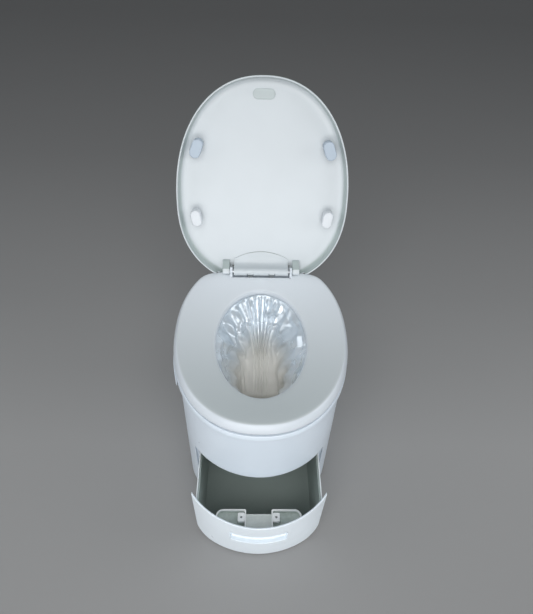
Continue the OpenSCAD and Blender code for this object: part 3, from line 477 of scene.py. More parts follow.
# ---------------------------------------------------------------- body
def body_moulding():
    """Tall shell in one piece, open at the front below OPEN_TOP for the drawer."""
    s = Shape()
    # Columns of wall on each side of the opening, and rows up to its top
    beside, low_rows = 18, 10
    edge = math.acos((OPEN_HALF_W / BODY_HALF_W) ** (FRONT_EXP / 2))
    edge_in = math.acos((OPEN_HALF_W / (BODY_HALF_W - BODY_WALL)) ** (FRONT_EXP / 2))
    half = np.concatenate([np.linspace(0, edge - 0.03, beside), [edge],
                           np.linspace(edge + 0.03, math.pi / 2, 44)])
    # Across the opening the inner wall's columns stand behind the outer ones
    share = (np.cos(half) ** (2 / FRONT_EXP) * BODY_HALF_W / (BODY_HALF_W - BODY_WALL)).clip(0, 1)
    half_in = np.where(half >= edge, np.arccos(share ** (FRONT_EXP / 2)), half * edge_in / edge)
    back = np.linspace(math.pi, 0, 97)[1:-1]

    def round_plan(side):
        return np.concatenate([-side, side[::-1][1:] - math.pi, back])
    turn, turn_in = round_plan(half), round_plan(half_in)
    count, last = len(turn), 2 * len(half) - 2 - beside
    heights = np.concatenate([np.linspace(BODY_BOTTOM, OPEN_TOP, low_rows),
                              np.linspace(OPEN_TOP + 8, DECK_UNDER, 13)])
    outer = [s.ring(at_z(body_plan(z, 0, turn), z)) for z in heights]
    inner = [s.ring(at_z(body_plan(z, BODY_WALL, turn_in), z)) for z in heights]

    def walled(row, k):
        return 0 <= row < len(heights) - 1 and not (row < low_rows - 1 and beside <= k % count < last)
    for row in range(len(heights)):
        for k in range(count):
            j = (k + 1) % count
            if walled(row, k):
                s.faces.append((outer[row][k], outer[row][j], outer[row + 1][j], outer[row + 1][k]))
                s.faces.append((inner[row + 1][k], inner[row + 1][j], inner[row][j], inner[row][k]))
            if walled(row, k) != walled(row - 1, k):
                s.faces.append((outer[row][k], outer[row][j], inner[row][j], inner[row][k]))
            if row < len(heights) - 1 and walled(row, k) != walled(row, k - 1):
                s.faces.append((outer[row][k], outer[row + 1][k], inner[row + 1][k], inner[row][k]))
    # Stops behind the ends of the drawer front, and ledges under the shelf
    for m in (1, -1):
        low = float(face_y(OPEN_HALF_W - 1, BODY_BOTTOM, BODY_WALL)) + 2
        high = float(face_y(OPEN_HALF_W - 1, OPEN_TOP, BODY_WALL)) + 2
        x0, x1 = sorted((m * (FRAME_HALF_W + 1.5), m * (OPEN_HALF_W + 3)))
        s.prism([(high, OPEN_TOP + 6), (high + 4, OPEN_TOP + 6), (low + 4, BODY_BOTTOM),
                 (low, BODY_BOTTOM)], x0, x1, "x")
        for y in (-70, 80):
            x0, x1 = sorted((m * (BODY_HALF_W - 22), m * (BODY_HALF_W - BODY_WALL / 2)))
            s.prism([(y - 10, 222), (y + 10, 222), (y + 10, 232), (y - 10, 232)], x0, x1, "x")
    return piece("body_moulding", s, white, "body", ["body_shell"], bevel=1.2, corner=40)


def deck_collar():
    """Cap of the body: rounded skirt and a flat deck with the opening for the cassette."""
    s = Shape()
    c = COLLAR_OUT
    outside = [(415.6, c - 3), (SKIRT_BOTTOM, c - 2.2), (415.2, c - 0.6), (416.4, c), (421, c - 0.3),
               (427.4, c - 0.9), (429.1, c - 1.3), (429.9, c - 2.0), (DECK_TOP, c - 3.0)]
    rings = [at_z(seat_oval(d), z) for z, d in outside]
    rings += [at_z(hole_oval(23.2), DECK_TOP), at_z(hole_oval(22.2), 429.6), at_z(hole_oval(22), 428.8),
              at_z(hole_oval(22), DECK_UNDER), at_z(seat_oval(c - 3.5), DECK_UNDER),
              at_z(seat_oval(c - 3.5), 416)]
    s.loft(rings, loop=True)
    return piece("deck_collar", s, white, "body", ["top_deck"])


# ---------------------------------------------------------------- seat
SEAT_CUT, NOTCH_Y, EAR_IN, EAR_W = 187.0, 169.5, 71.3, 6.4
# Steps along the rear edge beside an ear, along the notch's side and across the notch
EDGE_STEPS, SIDE_STEPS, NOTCH_STEPS = 8, 4, 24


def rounded_ends(arc):
    """Draws the last part of the arc in towards the straight rear edge, in place of a corner."""
    arc, reach = arc.copy(), 34.0
    for line, side in ((arc[::-1], -1), (arc, 1)):
        cut = line[0, 1]
        far = np.abs(line[:, 0] - line[0, 0]) + np.abs(line[:, 1] - cut)
        n = int(np.searchsorted(far, reach))
        start, corner, end = line[n].copy(), line[0].copy(), np.array([line[0, 0] - side * reach * 0.8, cut])
        for k in range(n + 1):
            t = 1 - k / n
            line[k] = (1 - t) ** 2 * start + 2 * t * (1 - t) * (corner * 0.96 + start * 0.04) + t * t * end
    return arc, arc[-1], arc[0]


def seat_outline(d, e):
    """The seat's outline with its side moved out by d and its rear edges moved in by e."""
    arc = seat_arc(d, SEAT_CUT - e)
    x = EAR_IN + e

    def run(p, q, count):
        return [tuple(np.array(p) + (np.array(q) - p) * k / count) for k in range(1, count + 1)]
    arc, left, right = rounded_ends(arc)
    rear = run(left, (-x, SEAT_CUT - e), EDGE_STEPS)
    rear += run((-x, SEAT_CUT - e), (-x, NOTCH_Y - e), SIDE_STEPS)
    rear += run((-x, NOTCH_Y - e), (x, NOTCH_Y - e), NOTCH_STEPS)
    rear += run((x, NOTCH_Y - e), (x, SEAT_CUT - e), SIDE_STEPS)
    rear += run((x, SEAT_CUT - e), right, EDGE_STEPS)[:-1]
    return np.vstack([arc, rear])


def seat_moulding():
    """Seat ring: soft outer side, slightly dished top, rounded lip, ears for the pin."""
    s = Shape()
    side = eased([(SEAT_BOTTOM, 1.6), (434.6, 3.6), (436.2, 6.1), (438.8, 7.6), (443, 7.2), (448, 5.9),
                  (452, 4.3), (455.4, 2.6), (457.8, 0.6), (459.2, -1.8), (459.9, -4.6), (SEAT_H, -7.5)], 26)
    rings = []
    for z, d in side:
        rings.append(at_z(seat_outline(d, max(0.0, (z - 456.5) * 0.75)), z))
    rim = seat_outline(-7.5, 2.6)
    # The next line inside the rim passes in front of the notch, with as many corners as the rim
    inner, inner_y = rim.copy(), 163.5
    left_side = SEAT_ARC_COUNT + EDGE_STEPS
    right_side = left_side + SIDE_STEPS + NOTCH_STEPS
    inner[SEAT_ARC_COUNT:, 1] = inner_y
    inner[:SEAT_ARC_COUNT] = rounded_ends(seat_arc(-13, inner_y))[0]
    inner[SEAT_ARC_COUNT:left_side, 0] = np.linspace(inner[SEAT_ARC_COUNT - 1, 0], -76, EDGE_STEPS + 1)[1:]
    inner[left_side:left_side + SIDE_STEPS, 0] = [-75, -74, -73, -71.9]
    inner[right_side:right_side + SIDE_STEPS, 0] = [71.9, 73, 74, 75]
    inner[1 - EDGE_STEPS:, 0] = np.linspace(76, inner[0, 0], EDGE_STEPS + 1)[1:-1]
    way = np.arctan2((inner[:, 1] - HOLE_Y) / HOLE_HALF_L, inner[:, 0] / HOLE_HALF_W)
    target = hole_oval(7, way)

    def mixed(t, drop):
        return at_z(inner * (1 - t) + target * t, SEAT_H - drop)
    rings += [mixed(0, 0.0), mixed(0.2, 0.35), mixed(0.4, 0.9), mixed(0.6, 1.5), mixed(0.8, 2.0)]
    lip = eased([(7, 2.4), (5, 2.8), (3, 3.6), (1.3, 5.0), (0.35, 7.0), (0, 9.5), (0.2, 12), (1.2, 13.6),
                 (3, 14)], 16)
    rings += [at_z(hole_oval(d, way), SEAT_H - drop) for d, drop in lip]
    # Underside: flat beside the hole, filled down to the bottom where the ears stand
    under = seat_outline(3, 0)
    for t in (0.35, 0.7, 1.0):
        plan = hole_oval(3, way) * (1 - t) + under * t
        z = np.minimum(446, SEAT_BOTTOM + np.maximum(0.5, (150 - plan[:, 1]) * 0.8))
        rings.append(np.column_stack([plan, z]))
    rings.append(at_z(under, SEAT_BOTTOM))
    s.loft(rings, loop=True)
    # Ears: rounded plates round the pin
    def place(line, x):
        return np.column_stack([np.full(len(line), x), np.asarray(line)])
    ear_r = 7.4
    for m in (1, -1):
        a = np.linspace(math.pi, 0, 19)
        head = [(HINGE_Y + ear_r * math.cos(t), HINGE_Z + 5 + ear_r * math.sin(t)) for t in a]
        outline = [(NOTCH_Y - 4, 450), (NOTCH_Y - 3, 459.5), (NOTCH_Y - 0.5, 463)] + head + \
                  [(SEAT_CUT - 0.3, 458), (SEAT_CUT - 0.3, 450)]
        inset = [(y + (HINGE_Y - y) * 0.06, z + (466 - z) * 0.05) for y, z in outline]
        x0, x1 = m * EAR_IN, m * (EAR_IN + EAR_W)
        s.loft([place(inset, x0), place(outline, x0 + m * 0.8), place(outline, x1 - m * 0.8),
                place(inset, x1)], caps=True)
    return piece("seat_moulding", s, seat_white, "seat", ["seat_ring"], corner=40)


# ---------------------------------------------------------------- lid
ARCH_TOP, ARCH_SHOULDER, ARCH_HALF_W = 45.5, 26, 68


def arch(d):
    """The cut-out's arched line, grown by d."""
    x = np.linspace(-(ARCH_HALF_W + d), ARCH_HALF_W + d, 33)
    rise = (ARCH_TOP - ARCH_SHOULDER) * (1 - (x / (ARCH_HALF_W + d)) ** 2)
    return np.stack([x, HINGE_Y - ARCH_SHOULDER - d - rise], -1)


def lid_moulding():
    """Lid: one dished shell, open at the rear, with the arched cut-out and the slots of the ears."""
    s = Shape()
    outside = eased([(0.0, 0.9), (0.1, 0.3), (0.9, 0), (4, 0), (8, 0.5), (16, 2.4), (23, 6.2), (27.6, 11.5),
                     (30.4, 20), (31.4, 30), (31.5, 36)], 34)
    inside = eased([(0.0, LID_WALL - 0.9), (0.1, LID_WALL - 0.3), (0.9, LID_WALL), (4, LID_WALL + 0.2),
                    (12, LID_WALL + 1), (19.5, LID_WALL + 2.8), (23.6, LID_WALL + 5.6), (26, LID_WALL + 9.5),
                    (27.3, LID_WALL + 15), (27.8, LID_WALL + 20), (28, LID_WALL + 26)], 34)

    def rear_at(z):
        """The end stands further back above the level of the seat's rear edge."""
        t = min(1, max(0, (z - 13) / 5))
        return 183 + 13 * t * t * (3 - 2 * t)

    def line(d, z):
        reach = LID_REAR + LID_OUT - d
        back = min(rear_at(z), reach - 0.5 - 16 * min(1, max(0, (d - 14) / 20)))
        return at_z(lid_arc(LID_OUT - d, back), RIM_Z + z)
    out = [s.ring(line(d, z)) for z, d in outside]
    inn = [s.ring(line(d, z)) for z, d in inside]
    for k in range(len(out) - 1):
        s.strip(out[k], out[k + 1], False)
        s.strip(inn[k + 1], inn[k], False)
        for end in (0, -1):
            s.faces.append((out[k][end], out[k + 1][end], inn[k + 1][end], inn[k][end]))
    s.strip(inn[0], out[0], False)

    def rear_edge(last, grow, level, fall):
        """Rear edge of the flat panel from left to right, with the slots and the arch."""
        end = last[-1]
        y = min(end[1], 190)
        slot = [(-78.5, y), (-78.5, 158), (-70, 158)]
        arc = [tuple(p) for p in arch(2 + grow)]
        plan = slot + arc + [(-x, v) for x, v in slot[::-1]]
        lift = [0.0] * 3 + [fall] * len(arc) + [0.0] * 3
        return np.array([(x, v, level + up) for (x, v), up in zip(plan, lift)])
    flat_out, flat_in = line(outside[-1][1], outside[-1][0]), line(inside[-1][1], inside[-1][0])
    top = s.ring(rear_edge(flat_out, 0, RIM_Z + outside[-1][0], 0))
    rolls = [s.ring(rear_edge(flat_in, grow, RIM_Z + inside[-1][0], fall))
             for grow, fall in ((7, 0), (4, 0.3), (2, 1.1), (0.6, 2.2), (0, 3.2))]
    s.faces.append(tuple(out[-1] + top))
    s.faces.append(tuple(reversed(inn[-1] + rolls[0])))
    for a, b in zip(rolls, rolls[1:] + [top]):
        s.strip(b, a, False)
    s.faces.append((out[-1][-1], top[0], rolls[-1][0], rolls[0][0], inn[-1][-1]))
    s.faces.append((top[-1], out[-1][0], inn[-1][0], rolls[0][-1], rolls[-1][-1]))
    return piece("lid_moulding", s, lid_white, "lid", ["lid_shell"], pose=tilted, bevel=1.1, corner=38)


def lid_lug_pair():
    """Lugs that stand inside the lid and turn on the pin's ends, with a stepped foot."""
    s = Shape()
    for m in (1, -1):
        x0, x1 = sorted((m * 78.9, m * 96))
        a = np.linspace(math.radians(-120), math.radians(30), 15)
        head = [(HINGE_Y + 6.9 * math.cos(t), HINGE_Z + 6.9 * math.sin(t)) for t in a]
        s.prism(head + [(HINGE_Y + 8, HINGE_Z + 23.2), (HINGE_Y - 24, HINGE_Z + 23.2),
                        (HINGE_Y - 21, HINGE_Z + 12), (HINGE_Y - 12, HINGE_Z + 4),
                        (HINGE_Y - 9, HINGE_Z - 4)], x0, x1, "x")
    return piece("lid_lug_pair", s, lid_white, "lid", ["lid_lugs"], pose=tilted, bevel=1.2, corner=45)


def hinge_leaf():
    """Leaf that fills the lid's arch, its flange outside, and the barrel round the pin."""
    s = Shape()
    leaf_z, w = LID_TOP - LID_WALL - 2.6, ARCH_HALF_W
    s.prism(np.vstack([arch(0), [(w, HINGE_Y - 3), (-w, HINGE_Y - 3)]]), leaf_z, LID_TOP)
    s.prism(np.vstack([arch(7), [(w + 7, HINGE_Y - 22), (w, HINGE_Y - 22), (w, HINGE_Y - 3), (-w, HINGE_Y - 3),
                                 (-w, HINGE_Y - 22), (-w - 7, HINGE_Y - 22)]]), LID_TOP, LID_TOP + 2.5)
    # Barrel in one length, cut open behind where the posts come in
    ends, open_cells = [-w, -35, -19, 19, 35, w], 30
    turn = np.radians(np.concatenate([np.linspace(-80, 100, open_cells + 1), np.linspace(100, 280, 41)[1:-1]]))
    cells, spans = len(turn), len(ends) - 1
    skins = [[s.ring(np.column_stack([np.full(cells, x), HINGE_Y + r * np.cos(turn),
                                      HINGE_Z + r * np.sin(turn)])) for x in ends] for r in (10.0, 8.9)]

    def filled(i, k):
        return 0 <= i < spans and not (i in (1, 3) and k % cells < open_cells)
    for i in range(spans + 1):
        for k in range(cells):
            j = (k + 1) % cells
            if filled(i, k):
                for skin in skins:
                    s.faces.append((skin[i][k], skin[i + 1][k], skin[i + 1][j], skin[i][j]))
            if filled(i, k) != filled(i - 1, k):
                s.faces.append((skins[0][i][k], skins[0][i][j], skins[1][i][j], skins[1][i][k]))
            if i < spans and filled(i, k) != filled(i, k - 1):
                s.faces.append((skins[0][i][k], skins[0][i + 1][k], skins[1][i + 1][k], skins[1][i][k]))
    # Web that runs from the leaf into the barrel in one hollow curve
    t = np.linspace(0, 1, 17)[:, None]
    web = ((1 - t) ** 2 * np.array([HINGE_Y - 24, leaf_z]) + 2 * t * (1 - t) * np.array([HINGE_Y - 11, leaf_z - 1])
           + t * t * np.array([HINGE_Y - 9.9, HINGE_Z]))
    s.prism([(HINGE_Y - 4, HINGE_Z), (HINGE_Y, HINGE_Z + 10), (HINGE_Y - 3, LID_TOP), (HINGE_Y - 26, LID_TOP),
             (HINGE_Y - 26, leaf_z + 0.6)] + [tuple(p) for p in web], -w, w, "x")
    return piece("hinge_leaf", s, leaf_white, "lid", ["hinge_bridge"], pose=tilted, bevel=0.8, corner=28)


def oblong(x, y, half_l, r, turn):
    """A line round a straight-sided stud with round ends, turned by degrees."""
    t = turns(40)
    a = math.radians(turn)
    p = np.stack([r * np.cos(t), np.where(np.sin(t) >= 0, half_l - r, r - half_l) + r * np.sin(t)], -1)
    return np.stack([x + p[:, 0] * math.cos(a) - p[:, 1] * math.sin(a),
                     y + p[:, 0] * math.sin(a) + p[:, 1] * math.cos(a)], -1)


def lid_pads(name, finish, place, half_l, r, turn, foot, swaps, dome=2.2, root=14.0):
    """Rounded oblong studs on the inside of the lid; root is how far their foot reaches up the dish."""
    s = Shape()
    for m in (1, -1) if place[0] else (1,):
        profile = [(foot, 3.4), (foot + 0.25, 1.8), (foot + 0.8, 0.8), (foot + dome, 0),
                   (foot + min(dome + 6, root - 0.3), 0), (foot + root, 0)]
        rings = [at_z(oblong(m * place[0], place[1], half_l - d, r - d, m * turn), z) for z, d in profile]
        s.loft(rings, caps=True)
    return piece(name, s, finish, "lid", swaps, pose=tilted, corner=60)


# ---------------------------------------------------------------- film
# Millimetres of film in a degree round the bowl, and over its whole depth
PER_DEGREE, FILM_DEPTH = 1.75, 210


def ridge(u, v, start, end, width, height):
    """A fold with a sharp crest along a line; places are (degrees round, share of the way down)."""
    a = np.array([start[0] * PER_DEGREE, start[1] * FILM_DEPTH])
    b = np.array([end[0] * PER_DEGREE, end[1] * FILM_DEPTH])
    p = np.stack([u * PER_DEGREE, v * FILM_DEPTH], -1) - a
    along = b - a
    t = np.clip((p @ along) / (along @ along), 0, 1)
    far = np.linalg.norm(p - t[..., None] * along, axis=-1)
    return height * np.clip(1 - far / width, 0, 1)


def facets(u, v, size, seed):
    """Flat facets with straight creases: random heights joined over a skewed grid of triangles."""
    n_high = 64
    high = np.random.default_rng(seed).uniform(-1, 1, (n_high, n_high))
    a = u * PER_DEGREE / size + 0.9 * np.sin(v * 6.3 + 0.6) + 0.35 * np.sin(u * 0.09) + 40
    b = v * FILM_DEPTH / size + 0.7 * np.sin(u * 0.045 + 1.0) + 0.4 * np.sin(v * 13) + 0.35 * a
    i, j = np.floor(a).astype(int), np.floor(b).astype(int)
    p, q = a - i, b - j
    at = [high[(i + m) % n_high, (j + n) % n_high] for m, n in ((0, 0), (1, 0), (0, 1), (1, 1))]
    return np.where(p + q < 1, at[0] + (at[1] - at[0]) * p + (at[2] - at[0]) * q,
                    at[3] + (at[2] - at[3]) * (1 - p) + (at[1] - at[3]) * (1 - q))


def film_bag():
    """Film hung over the cassette's inner wall, pleated down the bowl and pinched between the rollers."""
    around, down = 360, 92
    turn = turns(around)
    degree = np.degrees(turn)
    # Height, place of the centre, half length, half width
    top_z, low_z = 441.0, 272.0
    levels = eased([(top_z, HOLE_Y, 159.6, 103.8), (420, -44, 147, 95), (397, -51, 130, 82),
                    (357, -58, 92, 60), (325, -73, 45, 54), (302, -85, 13, 53), (288, -85, 3.0, 51)], down)
    share = (top_z - levels[:, 0]) / (top_z - low_z)
    u, v = np.meshgrid(degree, share)
    fold = np.zeros_like(u)
    # Pleats that hang from the rear rim and run together towards the nip
    pleats = [(60, 5.5, 4.5), (66, 4.5, -3.5), (71, 5, 4.5), (77, 4.5, -3.5), (82, 4.5, 5), (87, 4, -4.0),
              (91, 4, 5), (96, 4.5, -4.0), (101, 4.5, 4.5), (107, 5, -3.0), (113, 6, 4.0), (120, 6, -3.0)]
    for at, width, height in pleats:
        fold += ridge(u, v, (at, 0.0), (90 + (at - 90) * 0.55, 0.55), width * 1.5, height)
        fold += 0.55 * ridge(u, v, (90 + (at - 90) * 0.5, 0.5), (90 + (at - 90) * 0.7, 1.0), width * 1.4,
                             height)
    # Facets on the shoulders and across the pleats
    folds = [((150, 0.05), (118, 0.42), 17, 6), ((178, 0.02), (135, 0.50), 20, 8),
             ((165, 0.30), (128, 0.62), 14, -5), ((196, 0.05), (150, 0.62), 22, 7),
             ((140, 0.0), (131, 0.22), 12, -4), ((128, 0.02), (118, 0.2), 9, 5),
             ((36, 0.05), (62, 0.42), 16, 6), ((12, 0.02), (48, 0.45), 20, 8), ((24, 0.12), (40, 0.5), 12, -5),
             ((-12, 0.05), (30, 0.60), 20, 7), ((46, 0.0), (52, 0.25), 9, 5), ((2, 0.3), (30, 0.75), 14, 5),
             ((64, 0.14), (80, 0.20), 8, 4), ((58, 0.26), (70, 0.3), 7, -4), ((108, 0.26), (124, 0.22), 8, 3),
             ((-28, 0.1), (8, 0.7), 18, 6), ((208, 0.1), (176, 0.7), 18, 6), ((-50, 0.1), (-20, 0.8), 20, 5),
             ((230, 0.1), (200, 0.8), 20, 5), ((270, 0.0), (265, 0.7), 22, 5), ((300, 0.0), (292, 0.7), 18, 5),
             ((245, 0.0), (250, 0.6), 16, -4), ((320, 0.05), (310, 0.6), 14, -4)]
    for start, end, width, height in folds:
        for lap in (-360, 0, 360):
            fold += ridge(u, v, (start[0] + lap, start[1]), (end[0] + lap, end[1]), width, height)
    away = np.clip((np.abs((u - 90 + 180) % 360 - 180) - 22) / 26, 0, 1)
    fold += (0.8 + 4.2 * away) * facets(u, v, 27.0, 5) + 0.5 * facets(u, v, 11.0, 11)
    rows = []
    for k in range(down):
        z, yc, half_l, half_w = levels[k]
        calm = min(1.0, k / 5) * min(1.0, max(0.0, (half_l - 3) / 24))
        plan = np.stack([half_w * np.cos(turn), half_l * np.sin(turn)], -1)
        inward = -plan / np.linalg.norm(plan, axis=1)[:, None]
        crumple = np.array([noise.noise(Vector((p[0] * 0.03, p[1] * 0.03, z * 0.02))) for p in plan])
        push = np.maximum((fold[k] + 1.6 * np.abs(crumple) - 1.0) * calm, -2.0)
        moved = plan + inward * push[:, None] * min(1.0, half_l / 60)
        rows.append(np.column_stack([moved[:, 0], yc + moved[:, 1], np.full(around, z) + 0.25 * push]))
    s = Shape()
    lip = [(7.4, 438.0), (7.5, 441.5), (7.1, 442.8), (6.0, 443.2), (4.2, 443.2), (3.2, 442.6)]
    top = [at_z(hole_oval(d, turn), z) for d, z in lip]
    tail = [at_z(oval(w, t, t, 2, NIP_Y, turn), z)
            for z, w, t in ((279, 50.5, 1.0), (ROLLER_Z, 50, 0.7), (246, 49.4, 0.7))]
    s.loft(top + rows + tail)
    bag = piece("film_bag", s, film, "body", ["liner_film"], corner=24)
    return bag


def film_store():
    """Stored film, pressed down in the cassette in many thin layers."""
    s = Shape()
    turn = turns(360)
    rings = []
    for d, z in [(7.6, 397), (18.4, 397), (18.4, 424), (17, 425.5)]:
        rings.append(at_z(hole_oval(d, turn), z))
    for k, d in enumerate(np.linspace(16.2, 9, 11)):
        rings.append(np.column_stack([hole_oval(d, turn), 424.6 + 1.3 * (k % 2) + 0.9 * np.sin(23 * turn + 2.1 * k)
                                      + 0.5 * np.sin(61 * turn + k)]))
    rings += [at_z(hole_oval(7.9, turn), 425.5), at_z(hole_oval(7.6, turn), 424)]
    s.loft(rings, loop=True)
    return piece("film_store", s, film, "body", ["film_pack"], corner=50)


# ---------------------------------------------------------------- drawer
GRIP_Z, GRIP_H, GRIP_HALF_W, GRIP_DEPTH = 107.0, 58.0, 65.0, 13.0
CORNER_R, CORNER_EASE_Z = 38.0, 96
SCREW_X, SCREW_Y = 40, -192.5


def grip_depth(x, z):
    """Depth of the scoop: deepest over its ledge, with rounded ends."""
    t = np.clip((z - GRIP_Z) / GRIP_H, 0, 1)
    end = np.clip((GRIP_HALF_W - np.abs(x)) / 4.5, 0, 1)
    return (GRIP_DEPTH - 1 - 6 * t) * np.sqrt(1 - (1 - end) ** 2)


def drawer_panel():
    """Curved front with its scooped grip, as one moulding with rounded edges."""
    s = Shape()
    x = -FRONT_HALF_W * np.cos(np.linspace(0, math.pi, 97))
    ends = np.array([GRIP_HALF_W + k for k in (-5, -3, -1.6, -0.6, 0, 0.3, 2)])
    x = np.unique(np.round(np.concatenate([x[(np.abs(np.abs(x) - GRIP_HALF_W) > 5.5)], ends, -ends]), 3))
    bottom, top, r = 4.0, OPEN_TOP - 2, 1.6
    # Height, how far the edge is rounded back, share of the scoop's depth
    rows = [(bottom, r, 0), (bottom + 0.5, r * 0.35, 0), (bottom + r, 0, 0)]
    rows += [(z, 0, 0) for z in np.linspace(10, GRIP_Z - 4, 12)]
    rows += [(GRIP_Z - 1.2, 0, 0), (GRIP_Z - 0.5, 0, 0.03), (GRIP_Z - 0.1, 0, 0.10), (GRIP_Z, 0, 0.2),
             (GRIP_Z + 0.05, 0, 0.7), (GRIP_Z + 0.4, 0, 0.86), (GRIP_Z + 1.4, 0, 0.96), (GRIP_Z + 3, 0, 1)]
    rows += [(z, 0, 1) for z in np.linspace(GRIP_Z + 8, GRIP_Z + GRIP_H - 6, 8)]
    rows += [(GRIP_Z + GRIP_H - 2, 0, 0.98), (GRIP_Z + GRIP_H - 0.5, 0, 0.8), (GRIP_Z + GRIP_H, 0, 0.3),
             (GRIP_Z + GRIP_H + 0.4, 0, 0.06), (GRIP_Z + GRIP_H + 1.4, 0, 0)]
    rows += [(z, 0, 0) for z in np.linspace(GRIP_Z + GRIP_H + 6, top - r - 2, 8)]
    rows += [(top - r, 0, 0), (top - 0.5, r * 0.35, 0), (top, r, 0)]
    # The two lower corners are rounded: the rows below ease up along them
    rise = CORNER_R - np.sqrt(CORNER_R ** 2 - np.clip(np.abs(x) - (FRONT_HALF_W - CORNER_R), 0, CORNER_R) ** 2)
    outer, inner = [], []
    for z, d, f in rows:
        level = z + rise * max(0.0, (CORNER_EASE_Z - z) / (CORNER_EASE_Z - bottom))
        scoop = grip_depth(x, z)
        outer.append(np.column_stack([x, face_y_at(x, level, d) + f * scoop, level]))
        y = np.maximum(face_y_at(x, level, BODY_WALL - d), face_y_at(x, level, 0) + (f > 0) * (scoop + 2.5))
        inner.insert(0, np.column_stack([x, y, level]))
    lines = [s.ring(line) for line in outer + inner]
    for a, b in zip(lines, lines[1:] + lines[:1]):
        s.strip(a, b, False)
    for end in (0, -1):
        s.faces.append(tuple(line[end] for line in lines))
    return piece("drawer_panel", s, front_white, "drawer", ["drawer_front"], pose=pulled, corner=40)


def grip_back():
    """Back of the grip's moulding with the two tongues that carry the bracket's screws."""
    s = Shape()
    back_low = float(face_y(0, GRIP_Z, GRIP_DEPTH))
    t, w = 2.5, GRIP_HALF_W + 2.5
    x = np.linspace(-w, w, 49)
    rows = []
    for z, back in ((GRIP_Z - t, 0), (GRIP_Z + GRIP_H + t, 0), (GRIP_Z + GRIP_H + t, 1.2), (GRIP_Z - t, 1.2)):
        y = face_y(x, z, 0) + np.maximum(BODY_WALL + 0.2, grip_depth(x, z) + 2.6) + back
        rows.append(s.ring(np.column_stack([x, y, np.full(len(x), z)])))
    for a, b in zip(rows, rows[1:] + rows[:1]):
        s.strip(a, b, False)
    for end in (0, -1):
        s.faces.append(tuple(row[end] for row in rows))
    for m in (1, -1):
        x0, x1 = sorted((m * (SCREW_X - 8), m * (SCREW_X + 8)))
        y0, y1 = back_low + t - 1, -182.0
        s.prism([(x0, y0), (x1, y0), (x1, y1), (x0, y1)], 133.7, 139.7)
    return piece("grip_back", s, frame_white, "drawer", ["grip_cup"], pose=pulled, bevel=0.5, corner=45)


def bin_box():
    """Dark waste bin: rounded rear corners, thin walls, and a front that is low behind the grip."""
    s = Shape()
    half, rear, r = FRAME_HALF_W - 2.8, 147.2, 14.0
    low, high, step_x = 132.0, 205.0, 102.0
    t = np.linspace(0, math.pi / 2, 10)

    def ring(d, level):
        """One line round the bin; level turns each corner's full height into its own height."""
        inside = half - d
        xs = np.unique(np.concatenate([np.linspace(-inside, inside, 61), [-step_x - 1, -step_x + 1,
                                                                           step_x - 1, step_x + 1]]))
        tall = np.where(np.abs(xs) > step_x, high, low)
        z = level(tall)
        gap = 1.6 + 17 * np.clip((98 - np.abs(xs)) / 20, 0, 1)
        front = np.column_stack([xs, face_y(xs, 0, BODY_WALL + gap + d), z])
        front[:, 1] -= (face_y(xs, 0, BODY_WALL) - face_y_at(xs, z)) * np.clip((np.abs(xs) - 78) / 20, 0, 1)
        right = np.stack([inside - r + r * np.cos(t), rear - d - r + r * np.sin(t)], -1)
        left = right[::-1] * (-1, 1)
        z_rear = level(np.full(10, high))
        return np.vstack([front, np.column_stack([right, z_rear]), np.column_stack([left, z_rear])])
    z0 = 15.1
    rings = [ring(6, lambda top: top * 0 + z0), ring(2, lambda top: top * 0 + z0 + 0.6),
             ring(0.3, lambda top: top * 0 + z0 + 3)]
    for share in (0.3, 0.6, 0.9, 1.0):
        rings.append(ring(0, lambda top: z0 + 3 + (top - z0 - 3) * share))
    rings.append(ring(1.2, lambda top: top + 0.4))
    for share in (1.0, 0.9, 0.6, 0.3):
        rings.append(ring(2.5, lambda top: z0 + 8 + (top - z0 - 8) * share))
    rings += [ring(4, lambda top: top * 0 + z0 + 4), ring(9, lambda top: top * 0 + z0 + 2.5)]
    s.loft(rings, caps=True)
    return piece("bin_box", s, bin_dark, "drawer", ["waste_bin"], pose=pulled, corner=40)


